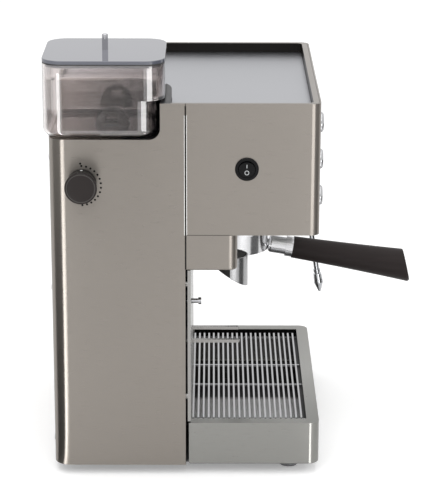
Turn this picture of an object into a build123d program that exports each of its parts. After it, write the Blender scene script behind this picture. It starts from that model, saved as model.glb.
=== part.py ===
from build123d import *
from math import cos, radians, sin
import os

os.makedirs("parts", exist_ok=True)

# The frame: origin on the worktop under the middle of the housing, front towards -Y,
# grinder towards -X, up +Z. All lengths are millimetres.

# driving sizes of the housing
body_width = 296.0
body_depth = 263.2
body_top = 383.2
foot_height = 10.0
column_depth = 132.6
upper_box_height = 131.3
grinder_box_drop = 35.9
grinder_box_width = 150.0
grinder_box_depth = 50.6
sheet = 1.5
thin_sheet = 1.2
seam_gap = 0.6
gap = 0.3
overrun = 5.0
rear_corner = 16.0
front_corner = 9.0
bulkhead_sheet = 2.0

# places worked out from them
left_x = -body_width / 2
right_x = body_width / 2
front_y = -body_depth / 2
rear_y = body_depth / 2
seam_y = rear_y - column_depth
upper_box_bottom = body_top - upper_box_height
grinder_box_bottom = upper_box_bottom - grinder_box_drop
grinder_box_front_y = seam_y - grinder_box_depth
lining = sheet + gap
floor_top = upper_box_bottom + sheet
bulkhead_front_y = seam_y + seam_gap
bulkhead_rear_y = bulkhead_front_y + bulkhead_sheet
base_sheet = 2.0
base_top = foot_height + base_sheet

# hopper pocket and deck
notch_run = 108.2
notch_depth = 35.6
notch_corner = 11.0
pocket_width = 105.8
pocket_corner = 23.0
collar_width = 10.2
collar_corner = 50.0
deck_recess = 10.0
deck_side_flange = 5.0
deck_front_flange = 7.5
deck_corner = 6.0
deck_ledge = 5.0
plate_gap = 0.4
notch_floor = body_top - notch_depth
deck_top = body_top - deck_recess
plate_bottom = deck_top - sheet
bulkhead_top = plate_bottom - thin_sheet - gap

# grinder
burr_in_x = 55.0
burr_in_y = 60.0
knob_below_notch = 42.6
ring_radius = 23.0
ring_bore = 17.2
ring_below_knob = 7.7
ring_height = 26.0
worm_radius = 4.2
worm_shaft_radius = 3.0
chamber_radius = 27.0
neck_radius = 15.0
burr_x = left_x + burr_in_x
burr_y = rear_y - burr_in_y
knob_z = notch_floor - knob_below_notch
worm_y = burr_y + ring_radius + worm_radius + gap
ring_bottom = knob_z - ring_below_knob

# chute, fork and group
chute_in_x = 75.0
tube_radius = 9.0
tube_wall = 1.4
chute_x = left_x + chute_in_x
tube_y = grinder_box_front_y + sheet + tube_radius + thin_sheet
group_bell_radius = 37.5
group_clear = 12.5
group_forward = 52.4
group_x = left_x + grinder_box_width + group_clear + group_bell_radius
group_y = seam_y - group_forward

# tray
tray_height = 44.3
tray_lift = 1.1
tray_bottom = foot_height + tray_lift
tray_top = tray_bottom + tray_height
tray_wall = 1.5
tray_proud = 3.2
tray_rear_gap = 2.9
tray_front_y = front_y - tray_proud
tray_rear_y = seam_y - tray_rear_gap

# splash panel
splash_thick = 3.0
splash_stand = 1.8
splash_rear_y = seam_y - splash_stand
splash_front_y = splash_rear_y - splash_thick


# base plate with the tongue that carries the tray
tongue_inset = 8.0
column_mid_y = (seam_y + rear_y - lining) / 2
with BuildPart() as base_plate:
    with BuildSketch(Plane.XY.offset(foot_height)) as base_sketch:
        with Locations((0, column_mid_y)):
            Rectangle(body_width - 2 * lining, rear_y - lining - seam_y)
        fillet(base_sketch.vertices().group_by(Axis.Y)[-1], rear_corner - lining)
        with Locations((0, (front_y + tongue_inset + seam_y) / 2)):
            Rectangle(body_width - 2 * tongue_inset, seam_y - front_y - tongue_inset)
    extrude(amount=base_sheet)
base_plate.part.label = "base_plate"
export_step(base_plate.part, "parts/base_plate.step")

# feet
foot_radius = 9.4
foot_chamfer = 0.6
front_foot_in_x = 28.5
front_foot_in_y = 26.2
rear_foot_in_x = 45.0
rear_foot_in_y = 30.0
foot_places = [
    (side * (right_x - in_x), y)
    for side in (-1, 1)
    for in_x, y in (
        (front_foot_in_x, front_y + front_foot_in_y),
        (rear_foot_in_x, rear_y - rear_foot_in_y),
    )
]
with BuildPart() as feet:
    with BuildSketch():
        with Locations(*foot_places):
            Circle(foot_radius)
    extrude(amount=foot_height)
    chamfer(feet.edges().group_by(Axis.Z)[0], foot_chamfer)
feet.part.label = "feet"
export_step(feet.part, "parts/feet.step")

# column casing: side, rear and side in one bent sheet, notched for the hopper
column_length = column_depth - seam_gap / 2
casing_height = body_top - foot_height
vent_count = 9
vent_pitch = 9.0
vent_length = 60.0
vent_width = 3.0
vent_x = 70.0
vent_z = 90.0
side_vent_y = 65.0
side_vent_z = 270.0
inlet_width = 27.0
inlet_height = 20.0
inlet_in_x = 62.0
inlet_z = 50.0
inlet_x = left_x + inlet_in_x
knob_hole_radius = 5.0
with BuildPart() as column_casing:
    with BuildSketch(Plane.XY.offset(foot_height)) as outer_wrap:
        with Locations((0, rear_y - column_length / 2)):
            Rectangle(body_width, column_length)
        fillet(outer_wrap.vertices().group_by(Axis.Y)[-1], rear_corner)
    extrude(amount=casing_height)
    with BuildSketch(Plane.XY.offset(foot_height - overrun)) as inner_wrap:
        with Locations((0, rear_y - sheet - column_length / 2)):
            Rectangle(body_width - 2 * sheet, column_length)
        fillet(inner_wrap.vertices().group_by(Axis.Y)[-1], rear_corner - sheet)
    extrude(amount=casing_height + 2 * overrun, mode=Mode.SUBTRACT)
    # the notch, seen from the side and from behind
    with BuildSketch(Plane.YZ.offset(left_x - overrun)) as side_notch:
        with Locations((rear_y - notch_run, notch_floor)):
            Rectangle(notch_run + overrun, notch_depth + overrun, align=(Align.MIN, Align.MIN))
        fillet(side_notch.vertices().sort_by(Axis.Y)[:2].sort_by(Axis.X)[0], notch_corner)
    extrude(amount=overrun + pocket_width / 2, mode=Mode.SUBTRACT)
    with BuildSketch(Plane.XZ.offset(-rear_y - overrun)) as rear_notch:
        with Locations((left_x - overrun, notch_floor)):
            Rectangle(pocket_width + overrun, notch_depth + overrun, align=(Align.MIN, Align.MIN))
        fillet(rear_notch.vertices().sort_by(Axis.Y)[:2].sort_by(Axis.X)[-1], notch_corner)
    extrude(amount=overrun + notch_run / 2, mode=Mode.SUBTRACT)
    # vents at the rear and the far side, the inlet and the knob's hole
    with BuildSketch(Plane.XZ.offset(-rear_y - overrun)):
        with Locations((vent_x, vent_z)):
            with GridLocations(0, vent_pitch, 1, vent_count):
                SlotOverall(vent_length, vent_width)
        with Locations((inlet_x, inlet_z)):
            Rectangle(inlet_width + 2 * gap, inlet_height + 2 * gap)
    extrude(amount=2 * overrun, mode=Mode.SUBTRACT)
    with BuildSketch(Plane.YZ.offset(right_x + overrun)):
        with Locations((side_vent_y, side_vent_z)):
            with GridLocations(0, vent_pitch, 1, vent_count):
                SlotOverall(vent_length, vent_width)
    extrude(amount=-2 * overrun, mode=Mode.SUBTRACT)
    with BuildSketch(Plane.YZ.offset(left_x - overrun)):
        with Locations((worm_y, knob_z)):
            Circle(knob_hole_radius)
    extrude(amount=2 * overrun, mode=Mode.SUBTRACT)
column_casing.part.label = "column_casing"
export_step(column_casing.part, "parts/column_casing.step")

# front casing of the upper box
front_rear_y = seam_y - seam_gap / 2
front_length = front_rear_y - front_y
switch_forward = 59.3
switch_below_top = 64.4
switch_y = seam_y - switch_forward
switch_z = body_top - switch_below_top
barrel_radius = 10.0
button_in_x = 42.0
button_pitch_share = 0.2818
button_top_share = 0.211
button_barrel_radius = 10.6
button_x = left_x + button_in_x
button_pitch = button_pitch_share * upper_box_height
button_heights = [body_top - button_top_share * upper_box_height - row * button_pitch for row in range(3)]
gauge_in_x = 118.0
gauge_radius = 25.0
gauge_x = left_x + gauge_in_x
gauge_z = button_heights[1]
wand_in_x = 31.0
wand_in_y = 20.2
wand_x = right_x - wand_in_x
wand_y = front_y + wand_in_y
steam_z = switch_z
spindle_radius = 3.0
with BuildPart() as front_casing:
    with BuildSketch(Plane.XY.offset(upper_box_bottom)) as front_outer:
        with Locations((0, front_y + front_length / 2)):
            Rectangle(body_width, front_length)
        fillet(front_outer.vertices().group_by(Axis.Y)[0], front_corner)
    extrude(amount=upper_box_height)
    with BuildSketch(Plane.XY.offset(upper_box_bottom - overrun)) as front_inner:
        with Locations((0, front_y + sheet + front_length / 2)):
            Rectangle(body_width - 2 * sheet, front_length)
        fillet(front_inner.vertices().group_by(Axis.Y)[0], front_corner - sheet)
    extrude(amount=upper_box_height + 2 * overrun, mode=Mode.SUBTRACT)
    with BuildSketch(Plane.YZ.offset(left_x - overrun)):
        with Locations((switch_y, switch_z)):
            Circle(barrel_radius + gap)
    extrude(amount=2 * overrun, mode=Mode.SUBTRACT)
    with BuildSketch(Plane.YZ.offset(right_x + overrun)):
        with Locations((wand_y, steam_z)):
            Circle(spindle_radius + gap)
    extrude(amount=-2 * overrun, mode=Mode.SUBTRACT)
    with BuildSketch(Plane.XZ.offset(-front_y + overrun)):
        with Locations(*[(button_x, z) for z in button_heights]):
            Circle(button_barrel_radius + gap)
        with Locations((gauge_x, gauge_z)):
            Circle(gauge_radius - sheet)
    extrude(amount=-2 * overrun, mode=Mode.SUBTRACT)
front_casing.part.label = "front_casing"
export_step(front_casing.part, "parts/front_casing.step")

# floor of the upper box, with holes for the chute tube, the group neck and the wand
group_neck_radius = 30.0
wand_ball_radius = 8.0
wand_stub_radius = 4.0
with BuildPart() as front_floor:
    with BuildSketch(Plane.XY.offset(upper_box_bottom)) as floor_sketch:
        with Locations((0, (front_y + lining + front_rear_y) / 2)):
            Rectangle(body_width - 2 * lining, front_rear_y - front_y - lining)
        fillet(floor_sketch.vertices().group_by(Axis.Y)[0], front_corner - lining)
        with Locations((chute_x, tube_y)):
            Circle(tube_radius + gap, mode=Mode.SUBTRACT)
        with Locations((group_x, group_y)):
            Circle(group_neck_radius + gap, mode=Mode.SUBTRACT)
        with Locations((wand_x, wand_y)):
            Circle(wand_stub_radius + gap, mode=Mode.SUBTRACT)
    extrude(amount=sheet)
front_floor.part.label = "front_floor"
export_step(front_floor.part, "parts/front_floor.step")

# cover of the grinder outlet under the upper box, open above and behind
box_edge = 2.0
grinder_box_length = front_rear_y - grinder_box_front_y
with BuildPart() as grinder_box:
    with BuildSketch(Plane.XY.offset(grinder_box_bottom)) as box_outer:
        with Locations((left_x, grinder_box_front_y)):
            Rectangle(grinder_box_width, grinder_box_length, align=(Align.MIN, Align.MIN))
        fillet(box_outer.vertices().group_by(Axis.Y)[0], front_corner)
    extrude(amount=grinder_box_drop)
    box_rim = grinder_box.faces().sort_by(Axis.Z)[0].edges()
    fillet(box_rim.filter_by(Axis.Y, reverse=True).sort_by(Axis.Y)[:3], box_edge)
    with BuildSketch(Plane.XY.offset(grinder_box_bottom + sheet)) as box_inner:
        with Locations((left_x + sheet, grinder_box_front_y + sheet)):
            Rectangle(grinder_box_width - 2 * sheet, grinder_box_length, align=(Align.MIN, Align.MIN))
        fillet(box_inner.vertices().group_by(Axis.Y)[0], front_corner - sheet)
    extrude(amount=grinder_box_drop, mode=Mode.SUBTRACT)
    with BuildSketch(Plane.XY.offset(grinder_box_bottom - overrun)):
        with Locations((chute_x, tube_y)):
            Circle(tube_radius + gap)
    extrude(amount=2 * overrun, mode=Mode.SUBTRACT)
grinder_box.part.label = "grinder_box"
export_step(grinder_box.part, "parts/grinder_box.step")

# bulkhead between column and front, with the shelf that carries the tank
shelf_z = 165.0
shelf_left_x = 0.0
pipe_radius = 3.0
pipe_y = bulkhead_rear_y + 4 * pipe_radius
pipe_high_z = upper_box_bottom + 9 * pipe_radius
hose_radius = 4.0
hose_y = rear_y - lining - 3 * hose_radius
duct_in_x = 45.0
duct_width = 42.0
duct_x = left_x + duct_in_x + duct_width / 2
pin_radius = 2.4
pin_tail_radius = 1.8
splash_bottom_gap = 1.6
splash_bottom = tray_top + splash_bottom_gap
pin_share = 0.6453
pin_z = splash_bottom + pin_share * (grinder_box_bottom - splash_bottom)
with BuildPart() as bulkhead:
    with BuildSketch(Plane.XZ.offset(-bulkhead_front_y)):
        with Locations((0, base_top)):
            Rectangle(body_width - 2 * lining, bulkhead_top - base_top, align=(Align.CENTER, Align.MIN))
    extrude(amount=-bulkhead_sheet)
    with BuildSketch(Plane.XY.offset(shelf_z)):
        with Locations((shelf_left_x, bulkhead_rear_y)):
            Rectangle(right_x - lining - shelf_left_x, rear_y - rear_corner - bulkhead_rear_y,
                      align=(Align.MIN, Align.MIN))
    extrude(amount=sheet)
    with BuildSketch(Plane.XZ.offset(-bulkhead_front_y + overrun)):
        with Locations((duct_x, floor_top)):
            Rectangle(duct_width + 2 * gap, knob_z - ring_below_knob - floor_top,
                      align=(Align.CENTER, Align.MIN))
        with Locations((group_x, pipe_high_z)):
            Circle(pipe_radius + gap)
        with Locations((chute_x, pin_z)):
            Circle(pin_tail_radius + gap)
    extrude(amount=-2 * overrun, mode=Mode.SUBTRACT)
    with BuildSketch(Plane.XY.offset(shelf_z - overrun)):
        with Locations((group_x, pipe_y)):
            Circle(pipe_radius + gap)
        with Locations((group_x, hose_y)):
            Circle(2 * hose_radius)
    extrude(amount=2 * overrun, mode=Mode.SUBTRACT)
bulkhead.part.label = "bulkhead"
export_step(bulkhead.part, "parts/bulkhead.step")

# splash panel on bosses against the bulkhead, cut back under the grinder box
fork_share = 0.4189
fork_spread = 40.0
prong_width = 4.0
prong_height = 3.2
prong_length = 49.4
prong_chamfer = 1.0
fork_bar_thick = 2.0
fork_z = splash_bottom + fork_share * (grinder_box_bottom - splash_bottom)
splash_side_inset = 0.5
boss_radius = 4.0
boss_inset = 20.0
with BuildPart() as splash_panel:
    with BuildSketch(Plane.XZ.offset(-splash_front_y)):
        with Locations((0, splash_bottom)):
            Rectangle(body_width - 2 * splash_side_inset, upper_box_bottom - gap - splash_bottom,
                      align=(Align.CENTER, Align.MIN))
        with Locations((left_x - overrun, grinder_box_bottom - gap)):
            Rectangle(grinder_box_width + overrun + gap, grinder_box_drop + overrun,
                      align=(Align.MIN, Align.MIN), mode=Mode.SUBTRACT)
        with Locations((chute_x, pin_z)):
            Circle(pin_radius + gap, mode=Mode.SUBTRACT)
        with Locations((chute_x - fork_spread / 2, fork_z), (chute_x + fork_spread / 2, fork_z)):
            Rectangle(prong_width + 2 * gap, prong_height + 2 * gap, mode=Mode.SUBTRACT)
    extrude(amount=-splash_thick)
    with BuildSketch(Plane.XZ.offset(-splash_rear_y)):
        with Locations(*[(side * (right_x - boss_inset), z) for side in (-1, 1)
                         for z in (splash_bottom + boss_inset, grinder_box_bottom - boss_inset)]):
            Circle(boss_radius)
    extrude(amount=-(bulkhead_front_y - splash_rear_y))
splash_panel.part.label = "splash_panel"
export_step(splash_panel.part, "parts/splash_panel.step")

# outlines shared by the pocket, the deck frame and the cup plate
wall_x = left_x + pocket_width
wall_y = rear_y - notch_run
skin_x = wall_x + thin_sheet
skin_y = wall_y - thin_sheet
collar_x = wall_x + collar_width
collar_y = wall_y - collar_width
inside_left_x = left_x + lining
inside_rear_y = rear_y - lining
inside_front_y = front_y + lining


def corner_region(to_x, to_y, corner):
    """A plan area from the housing's rear left corner to a rounded inner corner."""
    with BuildSketch() as region:
        with Locations((inside_left_x, to_y)):
            Rectangle(to_x - inside_left_x, inside_rear_y - to_y, align=(Align.MIN, Align.MIN))
        front_right = region.vertices().sort_by(Axis.X)[-2:].sort_by(Axis.Y)[0]
        fillet(front_right, corner)
        rear_left = region.vertices().sort_by(Axis.Y)[-2:].sort_by(Axis.X)[0]
        fillet(rear_left, rear_corner - lining)
    return region.sketch


pocket_area = corner_region(wall_x, wall_y, pocket_corner)
skin_area = corner_region(skin_x, skin_y, pocket_corner + thin_sheet)
collar_area = corner_region(collar_x, collar_y, collar_corner)
collar_inner_area = corner_region(collar_x - thin_sheet, collar_y + thin_sheet, collar_corner - thin_sheet)
deck_cut_area = corner_region(collar_x + gap, collar_y - gap, collar_corner + gap)

# outline of the hopper, which the cup plate has to pass
hopper_wall = 2.5
hopper_side_proud = 1.0
hopper_rear_proud = 5.4
hopper_side_gap = 1.2
hopper_step_out = 5.9
hopper_corner = 20.0
hopper_left_x = left_x - hopper_side_proud
hopper_rear_y = rear_y + hopper_rear_proud
low_right_x = wall_x - hopper_side_gap
low_front_y = wall_y + hopper_side_gap
high_right_x = low_right_x + hopper_step_out
high_front_y = low_front_y - hopper_step_out
low_width = low_right_x - hopper_left_x
low_length = hopper_rear_y - low_front_y
high_width = high_right_x - hopper_left_x
high_length = hopper_rear_y - high_front_y
low_center = ((hopper_left_x + low_right_x) / 2, (low_front_y + hopper_rear_y) / 2)
high_center = ((hopper_left_x + high_right_x) / 2, (high_front_y + hopper_rear_y) / 2)

# pressed pocket that the hopper stands in, with its raised collar
with BuildPart() as hopper_pocket:
    with BuildSketch(Plane.XY.offset(notch_floor - thin_sheet)):
        add(skin_area)
    extrude(amount=body_top - notch_floor + thin_sheet)
    with BuildSketch(Plane.XY.offset(notch_floor)):
        add(pocket_area)
    extrude(amount=notch_depth + overrun, mode=Mode.SUBTRACT)
    with BuildSketch(Plane.XY.offset(body_top - thin_sheet)):
        add(collar_area)
        add(skin_area, mode=Mode.SUBTRACT)
    extrude(amount=thin_sheet)
    with BuildSketch(Plane.XY.offset(plate_bottom)):
        add(collar_area)
        add(collar_inner_area, mode=Mode.SUBTRACT)
    extrude(amount=body_top - plate_bottom)
    with BuildSketch(Plane.XY.offset(notch_floor - overrun)):
        with Locations((burr_x, burr_y)):
            Circle(neck_radius + gap)
    extrude(amount=2 * overrun, mode=Mode.SUBTRACT)
hopper_pocket.part.label = "hopper_pocket"
export_step(hopper_pocket.part, "parts/hopper_pocket.step")

# deck frame: flange, skirt and the ledge under the cup plate
opening_width = body_width - 2 * deck_side_flange
opening_front_y = front_y + deck_front_flange
opening_rear_y = rear_y - deck_side_flange
opening_mid_y = (opening_front_y + opening_rear_y) / 2
opening_length = opening_rear_y - opening_front_y
with BuildPart() as deck_frame:
    with BuildSketch(Plane.XY.offset(body_top - thin_sheet)) as flange:
        with Locations((0, (inside_front_y + inside_rear_y) / 2)):
            Rectangle(body_width - 2 * lining, inside_rear_y - inside_front_y)
        fillet(flange.vertices().group_by(Axis.Y)[0], front_corner - lining)
        fillet(flange.vertices().group_by(Axis.Y)[-1], rear_corner - lining)
        with Locations((0, opening_mid_y)):
            RectangleRounded(opening_width, opening_length, deck_corner, mode=Mode.SUBTRACT)
    extrude(amount=thin_sheet)
    with BuildSketch(Plane.XY.offset(plate_bottom - thin_sheet)):
        with Locations((0, opening_mid_y)):
            RectangleRounded(opening_width + 2 * thin_sheet, opening_length + 2 * thin_sheet,
                             deck_corner + thin_sheet)
            RectangleRounded(opening_width, opening_length, deck_corner, mode=Mode.SUBTRACT)
    extrude(amount=body_top - plate_bottom + thin_sheet)
    with BuildSketch(Plane.XY.offset(plate_bottom - thin_sheet)):
        with Locations((0, opening_mid_y)):
            RectangleRounded(opening_width + thin_sheet, opening_length + thin_sheet, deck_corner)
            RectangleRounded(opening_width - 2 * deck_ledge, opening_length - 2 * deck_ledge,
                             deck_corner, mode=Mode.SUBTRACT)
    extrude(amount=thin_sheet)
    with BuildSketch(Plane.XY.offset(plate_bottom - overrun)):
        add(deck_cut_area)
        with Locations((left_x, rear_y)):
            Rectangle(pocket_width, notch_run, align=(Align.MIN, Align.MAX))
    extrude(amount=deck_recess + 3 * overrun, mode=Mode.SUBTRACT)
deck_frame.part.label = "deck_frame"
export_step(deck_frame.part, "parts/deck_frame.step")

# cup plate, a loose polished tray in the recess
with BuildPart() as cup_plate:
    with BuildSketch(Plane.XY.offset(plate_bottom)):
        with Locations((0, opening_mid_y)):
            RectangleRounded(opening_width - 2 * plate_gap, opening_length - 2 * plate_gap, deck_corner)
        add(deck_cut_area, mode=Mode.SUBTRACT)
        with Locations((left_x, rear_y)):
            Rectangle(pocket_width, notch_run, align=(Align.MIN, Align.MAX), mode=Mode.SUBTRACT)
        with Locations(high_center):
            RectangleRounded(high_width + 2 * plate_gap, high_length + 2 * plate_gap,
                             hopper_corner + plate_gap, mode=Mode.SUBTRACT)
    extrude(amount=sheet)
cup_plate.part.label = "cup_plate"
export_step(cup_plate.part, "parts/cup_plate.step")

# hopper: a narrower foot in the pocket, a step over the panel edge, and the neck
hopper_step_above = 2.5
hopper_height = 72.1
hopper_bottom_edge = 9.0
hopper_neck_bore = 12.5
finger_guard_radius = 17.5
finger_guard_wall = 1.5
hopper_bottom = notch_floor + gap
hopper_step_z = body_top + hopper_step_above
hopper_top = hopper_bottom + hopper_height
neck_bottom = ring_bottom + ring_height * 3 / 4
with BuildPart() as hopper:
    with BuildSketch(Plane.XY.offset(hopper_bottom)):
        with Locations(low_center):
            RectangleRounded(low_width, low_length, hopper_corner)
    extrude(amount=hopper_step_z - hopper_bottom)
    fillet(hopper.faces().sort_by(Axis.Z)[0].edges(), hopper_bottom_edge)
    with BuildSketch(Plane.XY.offset(hopper_step_z)):
        with Locations(high_center):
            RectangleRounded(high_width, high_length, hopper_corner)
    extrude(amount=hopper_top - hopper_step_z)
    with BuildPart(mode=Mode.PRIVATE) as hopper_inside:
        with BuildSketch(Plane.XY.offset(hopper_bottom + hopper_wall)):
            with Locations(low_center):
                RectangleRounded(low_width - 2 * hopper_wall, low_length - 2 * hopper_wall,
                                 hopper_corner - hopper_wall)
        extrude(amount=hopper_step_z - hopper_bottom)
        fillet(hopper_inside.faces().sort_by(Axis.Z)[0].edges(), hopper_bottom_edge - hopper_wall)
        with BuildSketch(Plane.XY.offset(hopper_step_z + hopper_wall)):
            with Locations(high_center):
                RectangleRounded(high_width - 2 * hopper_wall, high_length - 2 * hopper_wall,
                                 hopper_corner - hopper_wall)
        extrude(amount=hopper_top - hopper_step_z)
    add(hopper_inside.part, mode=Mode.SUBTRACT)
    with BuildSketch(Plane.XY.offset(neck_bottom)):
        with Locations((burr_x, burr_y)):
            Circle(neck_radius)
    extrude(amount=hopper_bottom + hopper_wall - neck_bottom)
    with BuildSketch(Plane.XY.offset(neck_bottom - overrun)):
        with Locations((burr_x, burr_y)):
            Circle(hopper_neck_bore)
    extrude(amount=hopper_bottom + hopper_wall - neck_bottom + 2 * overrun, mode=Mode.SUBTRACT)
hopper.part.label = "hopper"
export_step(hopper.part, "parts/hopper.step")

# finger guard: a slotted dome over the throat
guard_base_z = hopper_bottom + hopper_wall
guard_window = 13.0
guard_window_share = 0.72
with BuildPart() as finger_guard:
    with BuildSketch(Plane.XZ) as guard_profile:
        with BuildLine():
            CenterArc((0, 0), finger_guard_radius, 0, 90)
            Line((0, finger_guard_radius), (0, finger_guard_radius - finger_guard_wall))
            CenterArc((0, 0), finger_guard_radius - finger_guard_wall, 0, 90)
            Line((finger_guard_radius - finger_guard_wall, 0), (finger_guard_radius, 0))
        make_face()
    revolve(axis=Axis.Z)
    with BuildSketch(Plane.XY.offset(finger_guard_wall)):
        Rectangle(guard_window, 2 * finger_guard_radius + overrun)
        Rectangle(2 * finger_guard_radius + overrun, guard_window)
    extrude(amount=finger_guard_radius * guard_window_share, mode=Mode.SUBTRACT)
finger_guard.part.locate(Location((burr_x, burr_y, guard_base_z)))
finger_guard.part.label = "finger_guard"
export_step(finger_guard.part, "parts/finger_guard.step")

# lid with its locating rim, the gasket under it and the rod knob through it
gasket_thick = 1.3
lid_thick = 3.3
rim_depth = 4.0
rim_wall = 1.5
lid_rod_radius = 3.0
lid_rod_height = 15.5
lid_nut_radius = 9.0
lid_nut_thick = 2.5
lid_stud_length = 12.5
rod_chamfer = 0.5
gasket_inset = 0.4
gasket_width = 2.0
lid_bottom = hopper_top + gasket_thick
with BuildPart() as hopper_lid:
    with BuildSketch(Plane.XY.offset(lid_bottom)):
        with Locations(high_center):
            RectangleRounded(high_width, high_length, hopper_corner)
    extrude(amount=lid_thick)
    chamfer(hopper_lid.edges().group_by(Axis.Z)[-1], rod_chamfer)
    rim_out = 2 * (hopper_wall + plate_gap)
    with BuildSketch(Plane.XY.offset(lid_bottom)):
        with Locations(high_center):
            RectangleRounded(high_width - rim_out, high_length - rim_out, hopper_corner - hopper_wall)
            RectangleRounded(high_width - rim_out - 2 * rim_wall, high_length - rim_out - 2 * rim_wall,
                             hopper_corner - hopper_wall - rim_wall, mode=Mode.SUBTRACT)
    extrude(amount=-rim_depth)
    with BuildSketch(Plane.XY.offset(lid_bottom - overrun)):
        with Locations(high_center):
            Circle(lid_rod_radius)
    extrude(amount=lid_thick + 2 * overrun, mode=Mode.SUBTRACT)
hopper_lid.part.label = "hopper_lid"
export_step(hopper_lid.part, "parts/hopper_lid.step")

with BuildPart() as lid_gasket:
    with BuildSketch(Plane.XY.offset(hopper_top)):
        with Locations(high_center):
            RectangleRounded(high_width - 2 * gasket_inset, high_length - 2 * gasket_inset, hopper_corner)
            RectangleRounded(high_width - 2 * gasket_inset - 2 * gasket_width,
                             high_length - 2 * gasket_inset - 2 * gasket_width,
                             hopper_corner - gasket_width, mode=Mode.SUBTRACT)
    extrude(amount=gasket_thick)
lid_gasket.part.label = "lid_gasket"
export_step(lid_gasket.part, "parts/lid_gasket.step")

with BuildPart() as lid_knob:
    with BuildSketch(Plane.XY.offset(lid_bottom - lid_stud_length)):
        with Locations(high_center):
            Circle(lid_nut_radius)
    extrude(amount=lid_nut_thick)
    with BuildSketch(Plane.XY.offset(lid_bottom - lid_stud_length)):
        with Locations(high_center):
            Circle(lid_rod_radius)
    extrude(amount=lid_stud_length + lid_thick + lid_rod_height)
    chamfer(lid_knob.edges().group_by(Axis.Z)[-1], rod_chamfer)
lid_knob.part.label = "lid_knob"
export_step(lid_knob.part, "parts/lid_knob.step")

# grinder body: base disc, burr chamber, outlet window and the two lugs of the worm shaft
disc_radius = 36.0
disc_thick = 4.0
chamber_wall = 5.5
chamber_floor = 3.0
chamber_height = 22.0
lug_thick = 4.0
lug_width = 12.0
lug_offset = 17.0
arm_width = 10.0
arm_outside_disc = 2.0
arm_past_axis = 12.0
spindle_hole_radius = 5.0
chamber_bottom = ring_bottom - gap - chamber_height
disc_bottom = chamber_bottom - disc_thick
chamber_bore = chamber_radius - chamber_wall
outlet_width = 20.0
with BuildPart() as grinder_body:
    with BuildSketch(Plane.XY.offset(disc_bottom)):
        with Locations((burr_x, burr_y)):
            Circle(disc_radius)
        for side in (-1, 1):
            with Locations((burr_x + side * (disc_radius + arm_outside_disc), bulkhead_rear_y)):
                Rectangle(arm_width, burr_y + arm_past_axis - bulkhead_rear_y,
                          align=(Align.CENTER, Align.MIN))
    extrude(amount=disc_thick)
    with BuildSketch(Plane.XY.offset(chamber_bottom)):
        with Locations((burr_x, burr_y)):
            Circle(chamber_radius)
    extrude(amount=chamber_height)
    with BuildSketch(Plane.YZ.offset(burr_x)):
        with Locations((worm_y, disc_bottom)):
            Rectangle(lug_width, knob_z + worm_shaft_radius * 2 - disc_bottom,
                      align=(Align.CENTER, Align.MIN))
    extrude(amount=lug_offset + lug_thick, both=True)
    with BuildSketch(Plane.XY.offset(chamber_bottom + chamber_floor)):
        with Locations((burr_x, burr_y)):
            Circle(chamber_bore)
    extrude(amount=chamber_height * 2, mode=Mode.SUBTRACT)
    with BuildSketch(Plane.YZ.offset(burr_x)):
        with Locations((worm_y, chamber_bottom + chamber_floor)):
            Rectangle(lug_width + 2 * overrun, ring_height * 2, align=(Align.CENTER, Align.MIN))
    extrude(amount=lug_offset, both=True, mode=Mode.SUBTRACT)
    with BuildSketch(Plane.YZ.offset(burr_x - disc_radius)):
        with Locations((worm_y, knob_z)):
            Circle(worm_shaft_radius + gap / 3)
    extrude(amount=2 * disc_radius, mode=Mode.SUBTRACT)
    with BuildSketch(Plane.XY.offset(ring_bottom - gap)):
        with Locations((burr_x, burr_y)):
            Circle(ring_radius + gap)
    extrude(amount=ring_height * 2, mode=Mode.SUBTRACT)
    with BuildSketch(Plane.XZ.offset(-burr_y)):
        with Locations((burr_x, chamber_bottom + chamber_floor)):
            Rectangle(outlet_width, chamber_height / 2, align=(Align.CENTER, Align.MIN))
    extrude(amount=chamber_radius + overrun, mode=Mode.SUBTRACT)
    with BuildSketch(Plane.XY.offset(disc_bottom - overrun)):
        with Locations((burr_x, burr_y)):
            Circle(spindle_hole_radius)
    extrude(amount=disc_thick + chamber_floor + 2 * overrun, mode=Mode.SUBTRACT)
grinder_body.part.label = "grinder_body"
export_step(grinder_body.part, "parts/grinder_body.step")

# grinder motor hung under the body
motor_radius = 34.0
motor_height = 84.0
motor_edge = 4.0
motor_bottom = disc_bottom - motor_height
with BuildPart() as grinder_motor:
    with BuildSketch(Plane.XY.offset(motor_bottom)):
        with Locations((burr_x, burr_y)):
            Circle(motor_radius)
    extrude(amount=motor_height)
    fillet(grinder_motor.edges().group_by(Axis.Z)[0], motor_edge)
grinder_motor.part.label = "grinder_motor"
export_step(grinder_motor.part, "parts/grinder_motor.step")

# lower burr, a grooved cone on its spindle
spindle_size = 4.0
burr_top_radius = 7.0
burr_base_radius = 15.5
burr_groove = 1.6
burr_groove_count = 8
burr_base_z = chamber_bottom + chamber_floor + gap
burr_top_z = ring_bottom + gap
with BuildPart() as lower_burr:
    with BuildSketch(Plane.XZ) as burr_profile:
        with BuildLine():
            Polyline((0, disc_bottom + gap), (spindle_size, disc_bottom + gap), (spindle_size, burr_base_z),
                     (burr_base_radius, burr_base_z), (burr_base_radius, burr_base_z + chamber_floor),
                     (burr_top_radius, burr_top_z), (0, burr_top_z), close=True)
        make_face()
    revolve(axis=Axis.Z)
    with BuildSketch(Plane.XY.offset(burr_base_z + chamber_floor)):
        with PolarLocations(burr_base_radius, burr_groove_count):
            Circle(burr_groove)
    extrude(amount=chamber_height, mode=Mode.SUBTRACT)
lower_burr.part.locate(Location((burr_x, burr_y, 0)))
lower_burr.part.label = "lower_burr"
export_step(lower_burr.part, "parts/lower_burr.step")

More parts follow.
